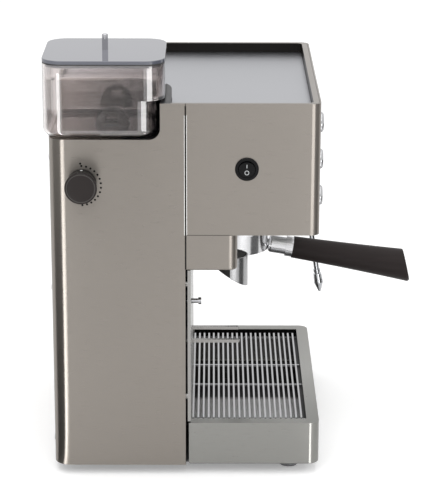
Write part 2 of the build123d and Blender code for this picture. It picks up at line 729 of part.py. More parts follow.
# adjusting ring with notched rim, and the upper burr held in its spigot
spigot_depth = 8.0
tooth_count = 40
tooth_depth = 0.8
teeth_below = 4.0
ring_wall_bore = neck_radius + 2 * gap
with BuildPart() as adjusting_ring:
    with BuildSketch(Plane.XY.offset(ring_bottom)):
        Circle(ring_radius)
    extrude(amount=ring_height)
    with BuildSketch(Plane.XY.offset(ring_bottom - spigot_depth)):
        Circle(chamber_bore - gap)
    extrude(amount=spigot_depth)
    with BuildSketch(Plane.XY.offset(ring_bottom - spigot_depth - overrun)):
        Circle(ring_bore)
    extrude(amount=spigot_depth + overrun, mode=Mode.SUBTRACT)
    with BuildSketch(Plane.XY.offset(ring_bottom)):
        Circle(ring_wall_bore)
    extrude(amount=ring_height + overrun, mode=Mode.SUBTRACT)
    with BuildSketch(Plane.XY.offset(knob_z - teeth_below)):
        with PolarLocations(ring_radius, tooth_count):
            Circle(tooth_depth)
    extrude(amount=2 * teeth_below, mode=Mode.SUBTRACT)
adjusting_ring.part.locate(Location((burr_x, burr_y, 0)))
adjusting_ring.part.label = "adjusting_ring"
export_step(adjusting_ring.part, "parts/adjusting_ring.step")

burr_clear = 1.0
slope = (burr_base_radius - burr_top_radius) / (burr_top_z - burr_base_z - chamber_floor)
burr_ring_low_z = ring_bottom - spigot_depth
low_bore = burr_top_radius + slope * (burr_top_z - burr_ring_low_z) + burr_clear
high_bore = burr_top_radius + slope * (burr_top_z - ring_bottom) + burr_clear
with BuildPart() as upper_burr:
    with BuildSketch(Plane.XZ) as upper_profile:
        with BuildLine():
            Polyline((low_bore, burr_ring_low_z), (ring_bore - gap / 6, burr_ring_low_z),
                     (ring_bore - gap / 6, ring_bottom), (high_bore, ring_bottom), close=True)
        make_face()
    revolve(axis=Axis.Z)
upper_burr.part.locate(Location((burr_x, burr_y, 0)))
upper_burr.part.label = "upper_burr"
export_step(upper_burr.part, "parts/upper_burr.step")

# worm shaft from the knob to the far lug
worm_half = 9.0
worm_groove = 1.0
worm_grooves = 5
worm_groove_pitch = 3.2
shaft_end_x = burr_x + lug_offset + lug_thick + 2 * gap
knob_gap = 1.0
with BuildPart() as worm_shaft:
    with BuildSketch(Plane.YZ.offset(left_x - knob_gap)):
        with Locations((worm_y, knob_z)):
            Circle(worm_shaft_radius)
    extrude(amount=shaft_end_x - left_x + knob_gap)
    with BuildSketch(Plane.YZ.offset(burr_x - worm_half)):
        with Locations((worm_y, knob_z)):
            Circle(worm_radius)
    extrude(amount=2 * worm_half)
    for turn in range(worm_grooves):
        groove_x = burr_x + (turn - (worm_grooves - 1) / 2) * worm_groove_pitch
        with BuildSketch(Plane.YZ.offset(groove_x - worm_groove / 2)):
            with Locations((worm_y, knob_z)):
                Circle(worm_radius + overrun)
                Circle(worm_radius - worm_groove, mode=Mode.SUBTRACT)
        extrude(amount=worm_groove, mode=Mode.SUBTRACT)
worm_shaft.part.label = "worm_shaft"
export_step(worm_shaft.part, "parts/worm_shaft.step")

# grind knob: skirt, knurled grip, flat face
knob_base_radius = 14.0
knob_face_radius = 15.3
knob_length = 21.5
skirt_length = 5.0
knurl_count = 30
knurl_depth = 0.7
face_edge = 1.2
knob_seat_x = left_x - knob_gap
with BuildPart() as grind_knob:
    with BuildSketch(Plane.YZ.offset(knob_seat_x)):
        with Locations((worm_y, knob_z)):
            Circle(knob_base_radius)
    extrude(amount=-skirt_length)
    with BuildSketch(Plane.YZ.offset(knob_seat_x - skirt_length)):
        with Locations((worm_y, knob_z)):
            Circle(knob_base_radius)
    with BuildSketch(Plane.YZ.offset(knob_seat_x - knob_length)):
        with Locations((worm_y, knob_z)):
            Circle(knob_face_radius)
    loft()
    chamfer(grind_knob.faces().sort_by(Axis.X)[0].edges(), face_edge)
    with BuildSketch(Plane.YZ.offset(knob_seat_x - skirt_length)):
        with Locations((worm_y, knob_z)):
            with PolarLocations(knob_face_radius + knurl_depth / 2, knurl_count):
                Circle(knurl_depth + gap)
    extrude(amount=-knob_length, mode=Mode.SUBTRACT)
grind_knob.part.label = "grind_knob"
export_step(grind_knob.part, "parts/grind_knob.step")

# duct that carries the grinds from the chamber over the floor to the chute tube
duct_wall = 1.5
duct_rear_y = burr_y - chamber_radius - gap
duct_front_y = tube_y - tube_radius - duct_wall
duct_bottom = floor_top + gap
duct_entry_z = chamber_bottom + duct_wall
duct_entry_height = 16.0
duct_front_height = 18.0
duct_turn_y = tube_y + tube_radius + duct_wall
duct_ramp_y = burr_y - disc_radius - gap
with BuildPart() as grinds_duct:
    with BuildSketch(Plane.YZ.offset(duct_x)):
        with BuildLine():
            Polyline((duct_rear_y, duct_entry_z), (duct_rear_y, duct_entry_z + duct_entry_height),
                     (duct_front_y, duct_bottom + duct_front_height), (duct_front_y, duct_bottom),
                     (duct_turn_y, duct_bottom), (duct_ramp_y, duct_entry_z), close=True)
        make_face()
    extrude(amount=duct_width / 2, both=True)
    with BuildSketch(Plane.YZ.offset(duct_x)):
        with BuildLine():
            Polyline((duct_rear_y + overrun, duct_entry_z + duct_wall),
                     (duct_rear_y + overrun, duct_entry_z + duct_entry_height - duct_wall),
                     (duct_rear_y, duct_entry_z + duct_entry_height - duct_wall),
                     (duct_front_y + duct_wall, duct_bottom + duct_front_height - duct_wall),
                     (duct_front_y + duct_wall, duct_bottom + duct_wall),
                     (duct_turn_y, duct_bottom + duct_wall), (duct_ramp_y, duct_entry_z + duct_wall),
                     (duct_rear_y, duct_entry_z + duct_wall), close=True)
        make_face()
    extrude(amount=duct_width / 2 - duct_wall, both=True, mode=Mode.SUBTRACT)
    with BuildSketch(Plane.XY.offset(duct_bottom - overrun)):
        with Locations((chute_x, tube_y)):
            Circle(tube_radius - tube_wall)
    extrude(amount=2 * overrun, mode=Mode.SUBTRACT)
grinds_duct.part.label = "grinds_duct"
export_step(grinds_duct.part, "parts/grinds_duct.step")

# dosing chute: a tube through the grinder box, and a bell cut at a slant below it
bell_radius = 16.6
tube_setback = 2.5
bell_wall = 1.5
bell_below_box = 6.3
bell_front_drop = 31.2
bell_rear_drop = 10.4
guard_wall = 1.2
bell_y = tube_y - (bell_radius - tube_radius) + tube_setback
bell_top = grinder_box_bottom - bell_below_box
bell_front_z = bell_top - bell_front_drop
bell_rear_z = bell_top - bell_rear_drop
guard_radius = bell_radius + gap + guard_wall


def below_slant(width):
    """The space under the slanted mouth of the bell."""
    reach = bell_radius + 2 * overrun
    tilt = (bell_rear_z - bell_front_z) / (2 * bell_radius)
    mid_z = (bell_rear_z + bell_front_z) / 2
    with BuildPart() as space:
        with BuildSketch(Plane.YZ.offset(chute_x)):
            with BuildLine():
                Polyline((bell_y - reach, mid_z - tilt * reach), (bell_y + reach, mid_z + tilt * reach),
                         (bell_y + reach, bell_front_z - reach), (bell_y - reach, bell_front_z - reach),
                         close=True)
            make_face()
        extrude(amount=width, both=True)
    return space.part


mouth_space = below_slant(2 * bell_radius)
with BuildPart() as dosing_chute:
    with BuildSketch(Plane.XY.offset(bell_front_z)):
        with Locations((chute_x, bell_y)):
            Circle(bell_radius)
    extrude(amount=bell_front_drop)
    with BuildSketch(Plane.XY.offset(bell_front_z - overrun)):
        with Locations((chute_x, bell_y)):
            Circle(bell_radius - bell_wall)
    extrude(amount=bell_front_drop - bell_wall + overrun, mode=Mode.SUBTRACT)
    with BuildSketch(Plane.XY.offset(bell_top)):
        with Locations((chute_x, tube_y)):
            Circle(tube_radius)
    extrude(amount=duct_bottom - bell_top)
    with BuildSketch(Plane.XY.offset(bell_top - 2 * bell_wall)):
        with Locations((chute_x, tube_y)):
            Circle(tube_radius - tube_wall)
    extrude(amount=duct_bottom - bell_top + 2 * overrun, mode=Mode.SUBTRACT)
    add(mouth_space, mode=Mode.SUBTRACT)
dosing_chute.part.label = "dosing_chute"
export_step(dosing_chute.part, "parts/dosing_chute.step")

# bright guard round the front half of the bell
with BuildPart() as chute_guard:
    with BuildSketch(Plane.XY.offset(bell_front_z - overrun)):
        with Locations((chute_x, bell_y)):
            Circle(guard_radius)
            Circle(guard_radius - guard_wall, mode=Mode.SUBTRACT)
            Rectangle(4 * bell_radius, 2 * bell_radius, align=(Align.CENTER, Align.MIN), mode=Mode.SUBTRACT)
    extrude(amount=bell_front_drop + overrun)
    add(mouth_space, mode=Mode.SUBTRACT)
chute_guard.part.label = "chute_guard"
export_step(chute_guard.part, "parts/chute_guard.step")

# fork that carries the portafilter under the chute, its bar held behind the splash panel
with BuildPart() as portafilter_fork:
    with BuildSketch(Plane.XZ.offset(-splash_rear_y)):
        with Locations((chute_x, fork_z)):
            Rectangle(fork_spread + prong_width, prong_height)
    extrude(amount=-fork_bar_thick)
    with BuildSketch(Plane.XZ.offset(-splash_rear_y)):
        with Locations((chute_x - fork_spread / 2, fork_z), (chute_x + fork_spread / 2, fork_z)):
            Rectangle(prong_width, prong_height)
    extrude(amount=splash_thick + prong_length)
    chamfer(portafilter_fork.faces().group_by(Axis.Y)[0].edges(), prong_chamfer)
portafilter_fork.part.label = "portafilter_fork"
export_step(portafilter_fork.part, "parts/portafilter_fork.step")

# push pin with its cap, and the microswitch behind the bulkhead
pin_proud = 10.1
cap_length = 3.0
cap_radius = 3.6
pin_travel = 4.0
pin_tail_clear = 3.0
tail_end_y = bulkhead_rear_y + pin_tail_clear
with BuildPart() as push_pin:
    with BuildSketch(Plane.XZ.offset(-splash_front_y + pin_proud)):
        with Locations((chute_x, pin_z)):
            Circle(cap_radius)
    extrude(amount=-cap_length)
    with BuildSketch(Plane.XZ.offset(-splash_front_y + pin_proud)):
        with Locations((chute_x, pin_z)):
            Circle(pin_radius)
    extrude(amount=-(pin_proud + bulkhead_front_y - gap - pin_travel - splash_front_y))
    with BuildSketch(Plane.XZ.offset(-splash_front_y)):
        with Locations((chute_x, pin_z)):
            Circle(pin_tail_radius)
    extrude(amount=-(tail_end_y - splash_front_y))
push_pin.part.label = "push_pin"
export_step(push_pin.part, "parts/push_pin.step")

micro_width = 20.0
micro_height = 10.0
micro_depth = 10.0
micro_leg = 4.0
micro_front_y = tail_end_y + pin_travel + gap
with BuildPart() as microswitch:
    with BuildSketch(Plane.XZ.offset(-micro_front_y)):
        with Locations((chute_x, pin_z)):
            Rectangle(micro_width, micro_height)
    extrude(amount=-micro_depth)
    with BuildSketch(Plane.XZ.offset(-bulkhead_rear_y)):
        with Locations(*[(chute_x + side * (micro_width - micro_leg) / 2, pin_z) for side in (-1, 1)]):
            Rectangle(micro_leg, micro_height)
    extrude(amount=-(micro_front_y - bulkhead_rear_y))
microswitch.part.label = "microswitch"
export_step(microswitch.part, "parts/microswitch.step")

# group head: bell, neck through the floor, and the bayonet track below
group_below_box = 51.3
lip_height = 3.0
track_height = 6.0
seat_depth = 20.4
ear_angle = 32.0
entry_angle = 40.0
lock_turn = 45.0
half_turn = 180.0
rim_radius = 30.9
lip_radius = rim_radius + gap
ear_radius = 33.6
track_radius = ear_radius + plate_gap
bell_body = 25.0
bell_taper = 8.0
water_bore = 4.0
group_bottom = upper_box_bottom - group_below_box
track_z = group_bottom + lip_height
track_top = track_z + track_height
seat_z = group_bottom + seat_depth
neck_top = floor_top + gap


def sector(radius, middle, width):
    """A plan wedge about the group axis."""
    with BuildSketch() as wedge:
        with BuildLine():
            start = middle - width / 2
            Line((0, 0), (radius * cos(radians(start)), radius * sin(radians(start))))
            CenterArc((0, 0), radius, start, width)
            Line((radius * cos(radians(start + width)), radius * sin(radians(start + width))), (0, 0))
        make_face()
    return wedge.sketch


with BuildPart() as group_head:
    with BuildSketch(Plane.XZ):
        with BuildLine():
            Polyline((0, seat_z), (lip_radius, seat_z), (lip_radius, track_top), (track_radius, track_top),
                     (track_radius, track_z), (lip_radius, track_z), (lip_radius, group_bottom),
                     (group_bell_radius, group_bottom), (group_bell_radius, group_bottom + bell_body),
                     (group_neck_radius, group_bottom + bell_body + bell_taper),
                     (group_neck_radius, neck_top), (0, neck_top), close=True)
        make_face()
    revolve(axis=Axis.Z)
    with BuildSketch(Plane.XY.offset(group_bottom - overrun)):
        add(sector(track_radius, -lock_turn - entry_angle, entry_angle))
        add(sector(track_radius, half_turn - lock_turn - entry_angle, entry_angle))
    extrude(amount=lip_height + 2 * overrun, mode=Mode.SUBTRACT)
    with BuildSketch(Plane.XY.offset(seat_z - overrun)):
        Circle(water_bore)
    extrude(amount=neck_top - seat_z + 2 * overrun, mode=Mode.SUBTRACT)
group_head.part.locate(Location((group_x, group_y, 0)))
group_head.part.label = "group_head"
export_step(group_head.part, "parts/group_head.step")

# gasket and shower screen inside the group
gasket_height = 8.4
gasket_bore = 25.0
screen_thick = 2.0
screen_hole = 1.0
screen_shares = ((1, 0.0), (8, 0.38), (14, 0.72))
with BuildPart() as group_gasket:
    with BuildSketch(Plane.XY.offset(seat_z - gasket_height)):
        with Locations((group_x, group_y)):
            Circle(lip_radius - gap / 2)
            Circle(gasket_bore, mode=Mode.SUBTRACT)
    extrude(amount=gasket_height)
group_gasket.part.label = "group_gasket"
export_step(group_gasket.part, "parts/group_gasket.step")

with BuildPart() as shower_screen:
    with BuildSketch(Plane.XY.offset(seat_z - screen_thick)):
        with Locations((group_x, group_y)):
            Circle(gasket_bore - gap)
            for holes, share in screen_shares:
                with PolarLocations(share * gasket_bore, holes):
                    Circle(screen_hole, mode=Mode.SUBTRACT)
    extrude(amount=screen_thick)
shower_screen.part.label = "shower_screen"
export_step(shower_screen.part, "parts/shower_screen.step")

# portafilter: bowl with ears, neck and ferrule along the sloping handle axis
bowl_radius = 33.5
bowl_height = 30.3
bowl_flat = 12.4
bowl_taper = 9.0
bowl_wall = 2.2
bowl_floor = 5.0
rim_above_track = 1.6
handle_drop = 9.3
handle_axis_above_bowl = 18.7
stub_start = 28.0
stub_radius = 5.0
neck_start = 34.0
handle_neck_radius = 9.4
neck_round = 4.0
ferrule_start = 53.0
ferrule_length = 8.0
ferrule_radius = 11.0
bowl_top = group_bottom - gap
bowl_bottom = bowl_top - bowl_height
rim_top = track_top + rim_above_track
handle_axis_z = bowl_bottom + handle_axis_above_bowl
handle_dir = (0, -cos(radians(handle_drop)), -sin(radians(handle_drop)))
handle_plane = Plane(origin=(group_x, group_y, handle_axis_z), x_dir=(1, 0, 0), z_dir=handle_dir)
bowl_outlet = 2.4
with BuildPart() as portafilter_body:
    with BuildSketch(Plane.XZ):
        with BuildLine():
            Polyline((0, bowl_bottom), (bowl_flat, bowl_bottom),
                     (bowl_radius, bowl_bottom + bowl_taper), (bowl_radius, bowl_top),
                     (rim_radius, bowl_top), (rim_radius, rim_top), (rim_radius - bowl_wall, rim_top),
                     (rim_radius - bowl_wall, bowl_bottom + bowl_floor + bowl_wall * 2),
                     (bowl_flat, bowl_bottom + bowl_floor), (0, bowl_bottom + bowl_floor), (0, bowl_bottom))
        make_face()
    revolve(axis=Axis.Z)
    with BuildSketch(Plane.XY.offset(track_z + gap)):
        add(sector(ear_radius, 0, ear_angle))
        add(sector(ear_radius, half_turn, ear_angle))
        Circle(rim_radius - bowl_wall, mode=Mode.SUBTRACT)
    extrude(amount=track_height - 2 * gap)
    with BuildSketch(Plane.XY.offset(bowl_bottom - overrun)):
        Circle(bowl_outlet)
    extrude(amount=bowl_floor + 2 * overrun, mode=Mode.SUBTRACT)
portafilter_body.part.locate(Location((group_x, group_y, 0)))
with BuildPart() as neck_and_ferrule:
    with BuildSketch(handle_plane.offset(neck_start)):
        Circle(handle_neck_radius)
    extrude(amount=ferrule_start - neck_start)
    fillet(neck_and_ferrule.edges().filter_by(GeomType.CIRCLE).sort_by(Axis.Y)[-1:], neck_round)
    with BuildSketch(handle_plane.offset(stub_start)):
        Circle(stub_radius)
    extrude(amount=ferrule_start - stub_start)
    with BuildSketch(handle_plane.offset(ferrule_start)):
        Circle(ferrule_radius)
    extrude(amount=ferrule_length)
    chamfer(neck_and_ferrule.edges().filter_by(GeomType.CIRCLE).sort_by(Axis.Y)[:1], gap)
with BuildPart() as portafilter_whole:
    add(portafilter_body.part)
    add(neck_and_ferrule.part)
    with Locations((group_x, group_y, bowl_bottom + bowl_floor + bowl_wall * 2)):
        Cylinder(rim_radius - bowl_wall, bowl_height, align=(Align.CENTER, Align.CENTER, Align.MIN),
                 mode=Mode.SUBTRACT)
portafilter_whole.part.label = "portafilter_body"
export_step(portafilter_whole.part, "parts/portafilter_body.step")

# filter basket hanging on the rim
basket_radius = rim_radius - bowl_wall - gap
basket_wall = 0.8
basket_depth = 22.0
basket_rim = 0.6
with BuildPart() as filter_basket:
    with BuildSketch(Plane.XY.offset(rim_top - basket_depth)):
        Circle(basket_radius)
    extrude(amount=basket_depth)
    with BuildSketch(Plane.XY.offset(rim_top)):
        Circle(rim_radius - gap)
    extrude(amount=basket_rim)
    with BuildSketch(Plane.XY.offset(rim_top - basket_depth + basket_wall)):
        Circle(basket_radius - basket_wall)
    extrude(amount=basket_depth + overrun, mode=Mode.SUBTRACT)
    with BuildSketch(Plane.XY.offset(rim_top - basket_depth - overrun)):
        for holes, share in screen_shares:
            with PolarLocations(share * basket_radius, holes):
                Circle(basket_wall / 2)
    extrude(amount=2 * overrun, mode=Mode.SUBTRACT)
filter_basket.part.locate(Location((group_x, group_y, 0)))
filter_basket.part.label = "filter_basket"
export_step(filter_basket.part, "parts/filter_basket.step")

# double spout: one block over two outlets
spout_half_width = 22.0
spout_half_depth = 9.0
spout_block = 9.0
spout_length = 17.0
spout_shoulder = 4.0
outlet_half = 7.0
outlet_offset = 15.0
outlet_bore = 2.4
spout_edge = 4.0
with BuildPart() as double_spout:
    with BuildSketch(Plane.XY.offset(bowl_bottom - spout_block)):
        with Locations((group_x, group_y)):
            RectangleRounded(2 * spout_half_width, 2 * spout_half_depth, spout_edge)
    extrude(amount=spout_block)
    with BuildSketch(Plane.XY.offset(bowl_bottom - spout_length)):
        with Locations(*[(group_x + side * outlet_offset, group_y) for side in (-1, 1)]):
            RectangleRounded(2 * outlet_half, 2 * spout_half_depth, spout_edge)
    extrude(amount=spout_length - spout_block)
    fillet(double_spout.edges().group_by(Axis.Z)[0], spout_edge / 4)
    with BuildSketch(Plane.XZ.offset(-group_y)):
        for side in (-1, 1):
            with BuildLine():
                Polyline((group_x + side * bowl_flat, bowl_bottom),
                         (group_x + side * spout_half_width, bowl_bottom - spout_shoulder),
                         (group_x + side * spout_half_width, bowl_bottom), close=True)
            make_face()
    extrude(amount=spout_half_depth, both=True, mode=Mode.SUBTRACT)
    with BuildSketch(Plane.XY.offset(bowl_bottom - spout_length - overrun)):
        with Locations(*[(group_x + side * outlet_offset, group_y) for side in (-1, 1)]):
            Circle(outlet_bore)
    extrude(amount=spout_length - spout_block / 2 + overrun, mode=Mode.SUBTRACT)
    with BuildSketch(Plane.YZ.offset(group_x)):
        with Locations((group_y, bowl_bottom - spout_block / 2)):
            Circle(outlet_bore)
    extrude(amount=outlet_offset, both=True, mode=Mode.SUBTRACT)
    with BuildSketch(Plane.XY.offset(bowl_bottom - spout_block / 2)):
        with Locations((group_x, group_y)):
            Circle(bowl_outlet)
    extrude(amount=spout_block, mode=Mode.SUBTRACT)
double_spout.part.label = "double_spout"
export_step(double_spout.part, "parts/double_spout.step")

# handle, flared, with a slanted rounded end
handle_start = ferrule_start + ferrule_length
handle_end = 186.0
handle_start_radius = 11.7
handle_end_radius = 18.2
handle_waist_share = 0.45
handle_waist_radius = 13.6
end_lean = 22.0
end_round = 2.5
side_plane = Plane(origin=(group_x, group_y, handle_axis_z), x_dir=handle_dir, z_dir=(1, 0, 0))
handle_waist = handle_start + handle_waist_share * (handle_end - handle_start)
handle_reach = handle_end + handle_end_radius
with BuildPart() as portafilter_handle:
    with BuildSketch(side_plane):
        with BuildLine():
            Line((handle_start, 0), (handle_start, handle_start_radius))
            Spline((handle_start, handle_start_radius), (handle_waist, handle_waist_radius),
                   (handle_reach, handle_end_radius))
            Line((handle_reach, handle_end_radius), (handle_reach, 0))
            Line((handle_reach, 0), (handle_start, 0))
        make_face()
    revolve(axis=Axis(origin=(group_x, group_y, handle_axis_z), direction=handle_dir))
    end_dir = (0, -cos(radians(handle_drop - end_lean)), -sin(radians(handle_drop - end_lean)))
    end_origin = handle_plane.offset(handle_end - gap).origin
    split(bisect_by=Plane(origin=end_origin, z_dir=end_dir), keep=Keep.BOTTOM)
    fillet(portafilter_handle.faces().sort_by(Axis.Y)[0].edges(), end_round)
portafilter_handle.part.label = "portafilter_handle"
export_step(portafilter_handle.part, "parts/portafilter_handle.step")

# boiler on the group neck, with the heating element inside it
boiler_radius = 38.0
boiler_height = 84.0
boiler_wall = 3.0
boiler_flange = 42.0
boiler_flange_thick = 6.0
element_radius = 24.0
element_wire = 4.0
element_leg = 14.0
boiler_bottom = neck_top
boiler_top = boiler_bottom + boiler_height
with BuildPart() as boiler:
    with BuildSketch(Plane.XY.offset(boiler_bottom)):
        Circle(boiler_flange)
    extrude(amount=boiler_flange_thick)
    with BuildSketch(Plane.XY.offset(boiler_bottom)):
        Circle(boiler_radius)
    extrude(amount=boiler_height)
    chamfer(boiler.edges().group_by(Axis.Z)[-1], boiler_wall / 2)
    with BuildSketch(Plane.XY.offset(boiler_bottom + boiler_flange_thick)):
        Circle(boiler_radius - boiler_wall)
    extrude(amount=boiler_height - boiler_flange_thick - boiler_wall, mode=Mode.SUBTRACT)
    with BuildSketch(Plane.XY.offset(boiler_bottom - overrun)):
        Circle(water_bore)
    extrude(amount=boiler_flange_thick + 2 * overrun, mode=Mode.SUBTRACT)
    with BuildSketch(Plane.XY.offset(boiler_top - 2 * boiler_wall)):
        with Locations((-element_radius, 0), (element_radius, 0)):
            Circle(element_wire)
    extrude(amount=4 * boiler_wall, mode=Mode.SUBTRACT)
boiler.part.locate(Location((group_x, group_y, 0)))
boiler.part.label = "boiler"
export_step(boiler.part, "parts/boiler.step")

element_low_z = boiler_bottom + boiler_height / 3
with BuildPart() as heating_element:
    with BuildSketch(Plane.XZ):
        with Locations((element_radius, element_low_z)):
            Circle(element_wire - gap)
    revolve(axis=Axis.Z, revolution_arc=360)
    with BuildSketch(Plane.XY.offset(element_low_z)):
        with Locations((-element_radius, 0), (element_radius, 0)):
            Circle(element_wire - gap)
    extrude(amount=boiler_top + element_leg - element_low_z)
heating_element.part.locate(Location((group_x, group_y, 0)))
heating_element.part.label = "heating_element"
export_step(heating_element.part, "parts/heating_element.step")

# pump on its foot, the pipe to the boiler and the hose from the tank
pump_radius = 19.0
pump_length = 74.0
pump_z = 80.0
pump_front_y = pipe_y + 6 * pipe_radius
pump_rear_y = pump_front_y + pump_length
pump_foot_width = 30.0
pump_foot_length = 40.0
with BuildPart() as pump:
    with BuildSketch(Plane.XZ.offset(-pump_front_y)):
        with Locations((group_x, pump_z)):
            Circle(pump_radius)
    extrude(amount=-pump_length)
    with BuildSketch(Plane.XY.offset(base_top)):
        with Locations((group_x, (pump_front_y + pump_rear_y) / 2)):
            Rectangle(pump_foot_width, pump_foot_length)
    extrude(amount=pump_z - base_top)
pump.part.label = "pump"
export_step(pump.part, "parts/pump.step")

pipe_bend = 4 * pipe_radius
boiler_rear_y = group_y + boiler_radius
with BuildPart() as pressure_pipe:
    with BuildLine() as pipe_path:
        FilletPolyline((group_x, pump_front_y, pump_z), (group_x, pipe_y, pump_z),
                       (group_x, pipe_y, pipe_high_z), (group_x, boiler_rear_y + gap, pipe_high_z),
                       radius=pipe_bend * 3 / 4)
    with BuildSketch(Plane(origin=pipe_path.line @ 0, z_dir=pipe_path.line % 0)):
        Circle(pipe_radius)
    sweep()
pressure_pipe.part.label = "pressure_pipe"
export_step(pressure_pipe.part, "parts/pressure_pipe.step")

tank_bottom = shelf_z + sheet
with BuildPart() as suction_hose:
    with BuildLine() as hose_path:
        FilletPolyline((group_x, pump_rear_y, pump_z), (group_x, hose_y, pump_z),
                       (group_x, hose_y, tank_bottom - gap), radius=3 * hose_radius / 2)
    with BuildSketch(Plane(origin=hose_path.line @ 0, z_dir=hose_path.line % 0)):
        Circle(hose_radius)
    sweep()
suction_hose.part.label = "suction_hose"
export_step(suction_hose.part, "parts/suction_hose.step")

# water tank on its shelf, open at the top under the cup plate
tank_wall = 2.5
tank_corner = 8.0
tank_margin = 4.0
tank_headroom = 14.0
tank_left_x = shelf_left_x + tank_margin
tank_right_x = right_x - lining - tank_margin
tank_front_y = pipe_y + 3 * pipe_radius
tank_rear_y = rear_y - lining - tank_margin
tank_center = ((tank_left_x + tank_right_x) / 2, (tank_front_y + tank_rear_y) / 2)
tank_height = plate_bottom - thin_sheet - tank_headroom - tank_bottom
with BuildPart() as water_tank:
    with BuildSketch(Plane.XY.offset(tank_bottom)):
        with Locations(tank_center):
            RectangleRounded(tank_right_x - tank_left_x, tank_rear_y - tank_front_y, tank_corner)
    extrude(amount=tank_height)
    with BuildSketch(Plane.XY.offset(tank_bottom + tank_wall)):
        with Locations(tank_center):
            RectangleRounded(tank_right_x - tank_left_x - 2 * tank_wall,
                             tank_rear_y - tank_front_y - 2 * tank_wall, tank_corner - tank_wall)
    extrude(amount=tank_height, mode=Mode.SUBTRACT)
water_tank.part.label = "water_tank"
export_step(water_tank.part, "parts/water_tank.step")

# control board on the front of the bulkhead
board_width = 100.0
board_height = 56.0
board_thick = 1.6
board_stand = 6.0
board_x = left_x + chute_in_x
board_z = knob_z + board_height / 2
chip_height = 10.0
post_radius = 2.5
post_inset = 6.0
with BuildPart() as control_board:
    with BuildSketch(Plane.XZ.offset(-bulkhead_front_y + board_stand)):
        with Locations((board_x, board_z)):
            Rectangle(board_width, board_height)
    extrude(amount=board_thick)
    with BuildSketch(Plane.XZ.offset(-bulkhead_front_y)):
        with Locations((board_x, board_z)):
            with GridLocations(board_width - 2 * post_inset, board_height - 2 * post_inset, 2, 2):
                Circle(post_radius)
    extrude(amount=board_stand)
    with BuildSketch(Plane.XZ.offset(-bulkhead_front_y + board_stand + board_thick)):
        with Locations((board_x, board_z)):
            with GridLocations(board_width / 3, board_height / 2, 3, 2):
                Rectangle(board_width / 6, board_height / 4)
    extrude(amount=chip_height)
control_board.part.label = "control_board"
export_step(control_board.part, "parts/control_board.step")

# round rocker switch in the side of the upper box
bezel_radius = 11.5
bezel_proud = 1.8
rocker_radius = 8.0
rocker_tilt = 9.0
rocker_thick = 6.0
barrel_length = 24.0
bezel_chamfer = 0.8
recess_depth = 8.0
with BuildPart() as switch_body:
    with BuildSketch(Plane.YZ.offset(left_x)):
        with Locations((switch_y, switch_z)):
            Circle(bezel_radius)
    extrude(amount=-bezel_proud)
    chamfer(switch_body.faces().sort_by(Axis.X)[0].edges(), bezel_chamfer)
    with BuildSketch(Plane.YZ.offset(left_x)):
        with Locations((switch_y, switch_z)):
            Circle(barrel_radius)
    extrude(amount=barrel_length)
    with BuildSketch(Plane.YZ.offset(left_x - bezel_proud - overrun)):
        with Locations((switch_y, switch_z)):
            Circle(rocker_radius + 2 * gap)
    extrude(amount=overrun + bezel_proud + recess_depth, mode=Mode.SUBTRACT)
switch_body.part.label = "switch_body"
export_step(switch_body.part, "parts/switch_body.step")

# the rocker's face is a shallow valley, so either side can stand proud
rocker_proud = 0.6
rocker_valley = 1.2
rocker_pivot_x = left_x - bezel_proud - rocker_proud + rocker_thick / 2
with BuildPart() as switch_rocker:
    with BuildSketch(Plane.YZ.offset(-rocker_thick / 2)):
        Circle(rocker_radius)
    extrude(amount=rocker_thick)
    with BuildSketch(Plane.XZ):
        with BuildLine():
            Polyline((-rocker_thick / 2, rocker_radius), (-rocker_thick / 2, -rocker_radius),
                     (rocker_valley - rocker_thick / 2, 0), close=True)
        make_face()
    extrude(amount=2 * rocker_radius, both=True, mode=Mode.SUBTRACT)
switch_rocker.part.locate(Location((rocker_pivot_x, switch_y, switch_z), (0, -rocker_tilt, 0)))
switch_rocker.part.label = "switch_rocker"
export_step(switch_rocker.part, "parts/switch_rocker.step")

# three domed push buttons in barrels
cap_radius_button = 9.9
cap_proud = 3.0
cap_dome = 1.3
cap_inside = 8.0
ring_proud = 1.2
ring_outer = 11.25
button_barrel_wall = 0.5
button_barrel_length = 15.0
for row, z in enumerate(button_heights):
    with BuildPart() as brew_button:
        with BuildSketch(Plane.XZ.offset(-front_y - cap_inside)):
            with Locations((button_x, z)):
                Circle(cap_radius_button)
        extrude(amount=cap_inside + cap_proud + cap_dome)
        fillet(brew_button.faces().sort_by(Axis.Y)[0].edges(), cap_dome * 2)
    brew_button.part.label = f"brew_button_{row + 1}"
    export_step(brew_button.part, f"parts/brew_button_{row + 1}.step")

with BuildPart() as button_bezels:
    with BuildSketch(Plane.XZ.offset(-front_y)):
        with Locations(*[(button_x, z) for z in button_heights]):
            Circle(ring_outer)
            Circle(cap_radius_button + gap / 3, mode=Mode.SUBTRACT)
    extrude(amount=ring_proud)
    chamfer(button_bezels.faces().group_by(Axis.Y)[0].edges().filter_by(
        lambda edge: edge.radius > button_barrel_radius), gap)
    with BuildSketch(Plane.XZ.offset(-front_y)):
        with Locations(*[(button_x, z) for z in button_heights]):
            Circle(button_barrel_radius)
            Circle(button_barrel_radius - button_barrel_wall, mode=Mode.SUBTRACT)
    extrude(amount=-button_barrel_length)
button_bezels.part.label = "button_bezels"
export_step(button_bezels.part, "parts/button_bezels.step")

